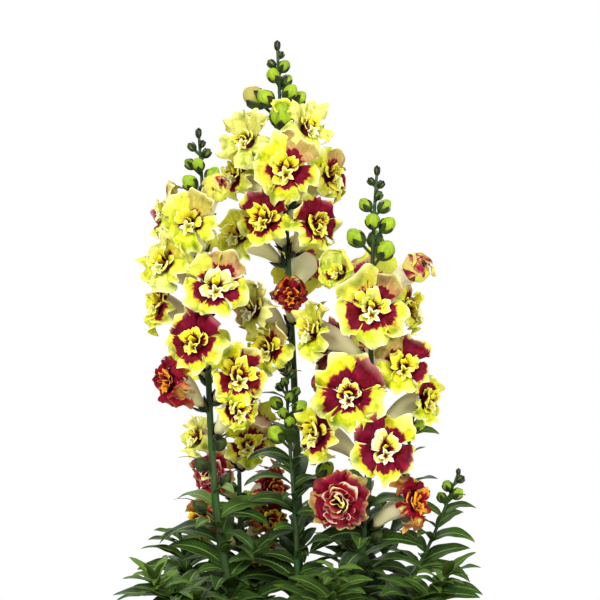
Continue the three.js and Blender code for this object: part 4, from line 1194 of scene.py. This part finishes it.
def makeLeafyStem(name, stem):
    shell, p = Shell(), stemPath(stem)
    addStem(shell, stem, draw(stem["leaves"][5], 1))
    for leaves in (stem["leaves"], bush[name]):
        for i in range(leaves[0]):
            plan = leafPlan(leaves, i)
            addLeaf(shell, onPath(p, plan["z"]), plan)
    for z, around, length, lift, tip, fresh in reaching.get(name, []):
        addLeaf(shell, onPath(p, z), {"around": around, "length": length, "lift": lift, "tip": tip,
                                      "roll": 16 * spread(z, 1), "hue": draw(z, around), "fresh": fresh})
    for b in blooms.values():
        if b["stem"] == name:
            addStalk(shell, b, b["z"])
    for entry in buds.get(name, []):
        addBud(shell, stem, entry)
    for entry in pods.get(name, []):
        addBud(shell, stem, entry, True)
    finishes = [stemPaint, leafPaint, calyxPaint, budPaint, crownPaint]
    return shell.piece("leafy_" + name, finishes, "stem_" + name, "green")[1]


print(len(blooms), "blooms made,", sum(makeBloom(*item) for item in blooms.items()), "triangles")
print(len(stems), "stems made,", sum(makeLeafyStem(*item) for item in stems.items()), "triangles")

pot = {
    "height": 140.0, "footRadius": 55.0, "rimRadius": 82.0, "rimBand": 30.0, "rimProud": 4.0, "wall": 6.0,
    "floor": 8.0, "sides": 120, "drains": 3, "drainRadius": 5.0, "drainCircle": 30.0, "fillet": 1.6,
    "uneven": 0.0025,
}
grit = {"clods": 230, "pearls": 60, "crumbs": 200, "lump": 1.3}


def wallInside(z):
    return mix(pot["footRadius"], pot["rimRadius"] - pot["rimProud"], z / pot["height"]) - pot["wall"]


# each corner of a profile becomes a short curve: (1-t)^2 before + 2 (1-t) t corner + t^2 after, fillet from
# the corner
def rounded(profile, fillet):
    points = [profile[0]]
    for before, corner, after in zip(profile, profile[1:], profile[2:]):
        before, corner, after = (np.array(q, float) for q in (before, corner, after))
        cut = [min(fillet, np.linalg.norm(q - corner) * 0.45) for q in (before, after)]
        p0, p2 = corner + unit(before - corner) * cut[0], corner + unit(after - corner) * cut[1]
        t = np.linspace(0, 1, 5)[:, None]
        points += list((1 - t) ** 2 * p0 + 2 * (1 - t) * t * corner + t ** 2 * p2)
    return np.array([tuple(q) for q in points] + [profile[-1]])


def clayFinish():
    f = newFinish("clayFinish")
    place = f.ownPlace()
    x, y, z = f.parts(place)
    cloud = f.noise(place, 14.0, 5.0, 0.6)
    grain = f.noise(place, 420.0, 4.0, 0.65)
    band = f.streaks(x * 2.0, y * 2.0, z * 260.0)
    bloomed = f.noise(place, 34.0, 5.0, 0.7)
    # lime salts dry out in pale blotches, most of all under the rim and near the foot
    salt = bloomed.ease(0.52, 0.72) * (z.ease(0.118, 0.095) * z.ease(0.05, 0.1) + z.ease(0.05, 0.0) * 0.8)
    clay = f.coats(
        f.colour(cloud, (168, 84, 48), (196, 112, 70)),
        (grain.ease(0.5, 0.75) * 0.5, (214, 140, 98)),
        (grain.ease(0.5, 0.28) * 0.35, (122, 56, 34)),
        (band.ease(0.5, 0.8) * 0.22, (140, 68, 42)),
        (salt * 0.55, (222, 200, 178)),
        ((z + bloomed * 0.03).ease(0.05, 0.01) * 0.4, (112, 58, 38)))  # damp at the foot
    height = grain * 0.6 + band * 0.8 + cloud * 0.4
    return f.surface(Base_Color=clay, Roughness=0.78 + grain * 0.18, Normal=f.bump(height, 0.35, 0.0008),
                     Specular_IOR_Level=0.3)


def compostFinish():
    f = newFinish("compostFinish")
    kind, hue = f.painted("place")[0], f.painted("tint")[0]
    cloud, grain = f.specks(60.0, 5.0, 0.7), f.specks(700.0, 4.0, 0.7)
    colour = f.coats(
        f.colour(cloud, (28, 18, 12), (66, 44, 28)),
        (grain.ease(0.5, 0.7) * 0.6, (96, 68, 44)),
        (hue * 0.5, (92, 60, 34)),
        (kind.ease(0.4, 0.6), f.colour(grain, (214, 208, 196), (238, 234, 226))))
    return f.surface(Base_Color=colour, Roughness=0.86 + grain * 0.12,
                     Normal=f.bump(grain + cloud, 0.7, 0.0012), Specular_IOR_Level=0.15)


# Lathe through a closed profile from the middle of the foot to the middle of the floor; the three drain
# holes are cut with cylinders that are removed again.
def makePot():
    top, rim, foot, floor = pot["height"], pot["rimRadius"], pot["footRadius"], pot["floor"]
    under = top - pot["rimBand"]
    body = mix(foot, rim - pot["rimProud"], under / top)
    profile = rounded([
        (0.01, 0.0), (foot, 0.0), (body, under), (rim - 1.0, under + 1.0), (rim, top - 2), (rim - 2, top),
        (wallInside(top), top), (wallInside(floor), floor), (0.01, floor)], pot["fillet"])
    # more rings where the wall is long
    steps = [profile[:1]]
    for a, b in zip(profile, profile[1:]):
        n = max(1, int(np.linalg.norm(b - a) / 9))
        steps.append(a + (b - a) * (np.arange(1, n + 1) / n)[:, None])
    profile = np.concatenate(steps)
    angle = turns(pot["sides"])
    # thrown by hand: the wall is a little out of round
    radius = profile[:, :1] * (1 + pot["uneven"] * np.sin(2 * angle + 0.6) * (profile[:, 1:] / top))
    circles = vectors(np.cos(angle) * radius, np.sin(angle) * radius, profile[:, 1:])
    shell = Shell()
    shell.tube(circles[1:-1], up3 * 0.0, up3 * floor, finish=0)
    thing = shell.piece("clay_pot", [clayFinish()], "pot", "clay")[0]
    cutters = Shell()
    for i in range(pot["drains"]):
        ends = heading(120 * i) * pot["drainCircle"] + up3 * np.array([[-6.0], [16.0]])
        walls = rings(ends, right3, side3, np.full(2, pot["drainRadius"]), 28)
        cutters.tube(walls, ends[0], ends[1])
    drains = cutters.plain("drains")
    cut = thing.modifiers.new("drains", "BOOLEAN")
    cut.operation, cut.object, cut.solver = "DIFFERENCE", drains, "EXACT"
    thing.data = bpy.data.meshes.new_from_object(thing.evaluated_get(bpy.context.evaluated_depsgraph_get()))
    thing.modifiers.clear()
    bpy.data.objects.remove(drains)
    return len(thing.data.loop_triangles)


# The top is a dome, level + crown (1 - share^2), with lumps from sines of x and y; clods, pearls and crumbs
# are uneven little balls that leave the stems' feet free.
def makeCompost():
    bottom, edge = pot["floor"] + soil["gap"], soil["level"] - 1
    walls, rows, sides = [0.98, 1.0, 1.0, 1.0], 34, 96
    a = turns(sides)
    share = np.concatenate([walls, np.linspace(0.985, 0.03, rows - len(walls))])
    z = np.concatenate([[bottom, 45.0, 85.0, edge - 1.5],
                        soil["level"] + soil["crown"] * (1 - share[4:] ** 2)])
    reach = (np.array([wallInside(min(h, edge)) for h in z]) - soil["gap"])[:, None] * share[:, None]
    x, y = np.cos(a) * reach, np.sin(a) * reach
    lumps = (np.sin(0.31 * x + 1.7 * np.sin(0.23 * y)) * np.cos(0.27 * y + 1.3 * np.sin(0.19 * x))
             + 0.6 * np.sin(0.83 * x + 2) * np.sin(0.77 * y + 1)
             + 0.5 * spread(7, np.arange(rows)[:, None] * 131 + np.arange(sides)))
    lumps = grit["lump"] * lumps * ease(1.0, 0.93, share)[:, None] - 0.8 * ease(0.9, 1.0, share)[:, None]
    z = z[:, None] + np.where(np.arange(rows)[:, None] >= len(walls), lumps, 0)
    circles = vectors(x, y, z)
    shell = Shell()
    shell.tube(circles, up3 * bottom, circles[-1].mean(0) + [0, 0, 0.2], finish=0)
    feet = np.array([onPath(stemPath(stem), soil["level"])[:2] for stem in stems.values()])
    for i in range(grit["clods"] + grit["pearls"] + grit["crumbs"]):
        pearl = grit["clods"] <= i < grit["clods"] + grit["pearls"]
        around, far = 2 * np.pi * draw(11, i), math.sqrt(draw(12, i)) * 0.95
        if i < grit["clods"]:
            radius = 1.2 + 2.2 * draw(13, i) ** 2
        else:
            radius = 0.9 + 0.9 * draw(13, i) if pearl else 0.7 + 0.5 * draw(13, i)
        reach = (wallInside(edge) - soil["gap"] - 3.0) * far
        top = soil["level"] + soil["crown"] * (1 - far ** 2)
        middle = np.array([math.cos(around) * reach, math.sin(around) * reach,
                           top + radius * (0.25 + 0.5 * draw(14, i))])
        if np.min(np.hypot(*(feet - middle[:2]).T)) < 4.5 + radius:
            continue
        along = unit(np.array([spread(15, i), spread(16, i), spread(17, i)]) + 1e-3)
        right, up = crossAxes(along, side3)
        k = np.linspace(-0.75, 0.75, 4)
        uneven = 1 + 0.24 * spread(18 + i, np.arange(28).reshape(4, 7))
        body = radius * np.sqrt(1 - k ** 2)[:, None] * uneven
        shell.tube(rings(middle + along * (k * radius * 0.8)[:, None], right, up, body, 7),
                   middle - along * radius * 0.9, middle + along * radius * 0.9, (float(pearl), 0, 0),
                   (draw(19, i), 0, 0), finish=0)
    return shell.piece("potting_compost", [compostFinish()], "compost", "compost")[1]


print("pot and compost made,", makePot() + makeCompost(), "triangles")
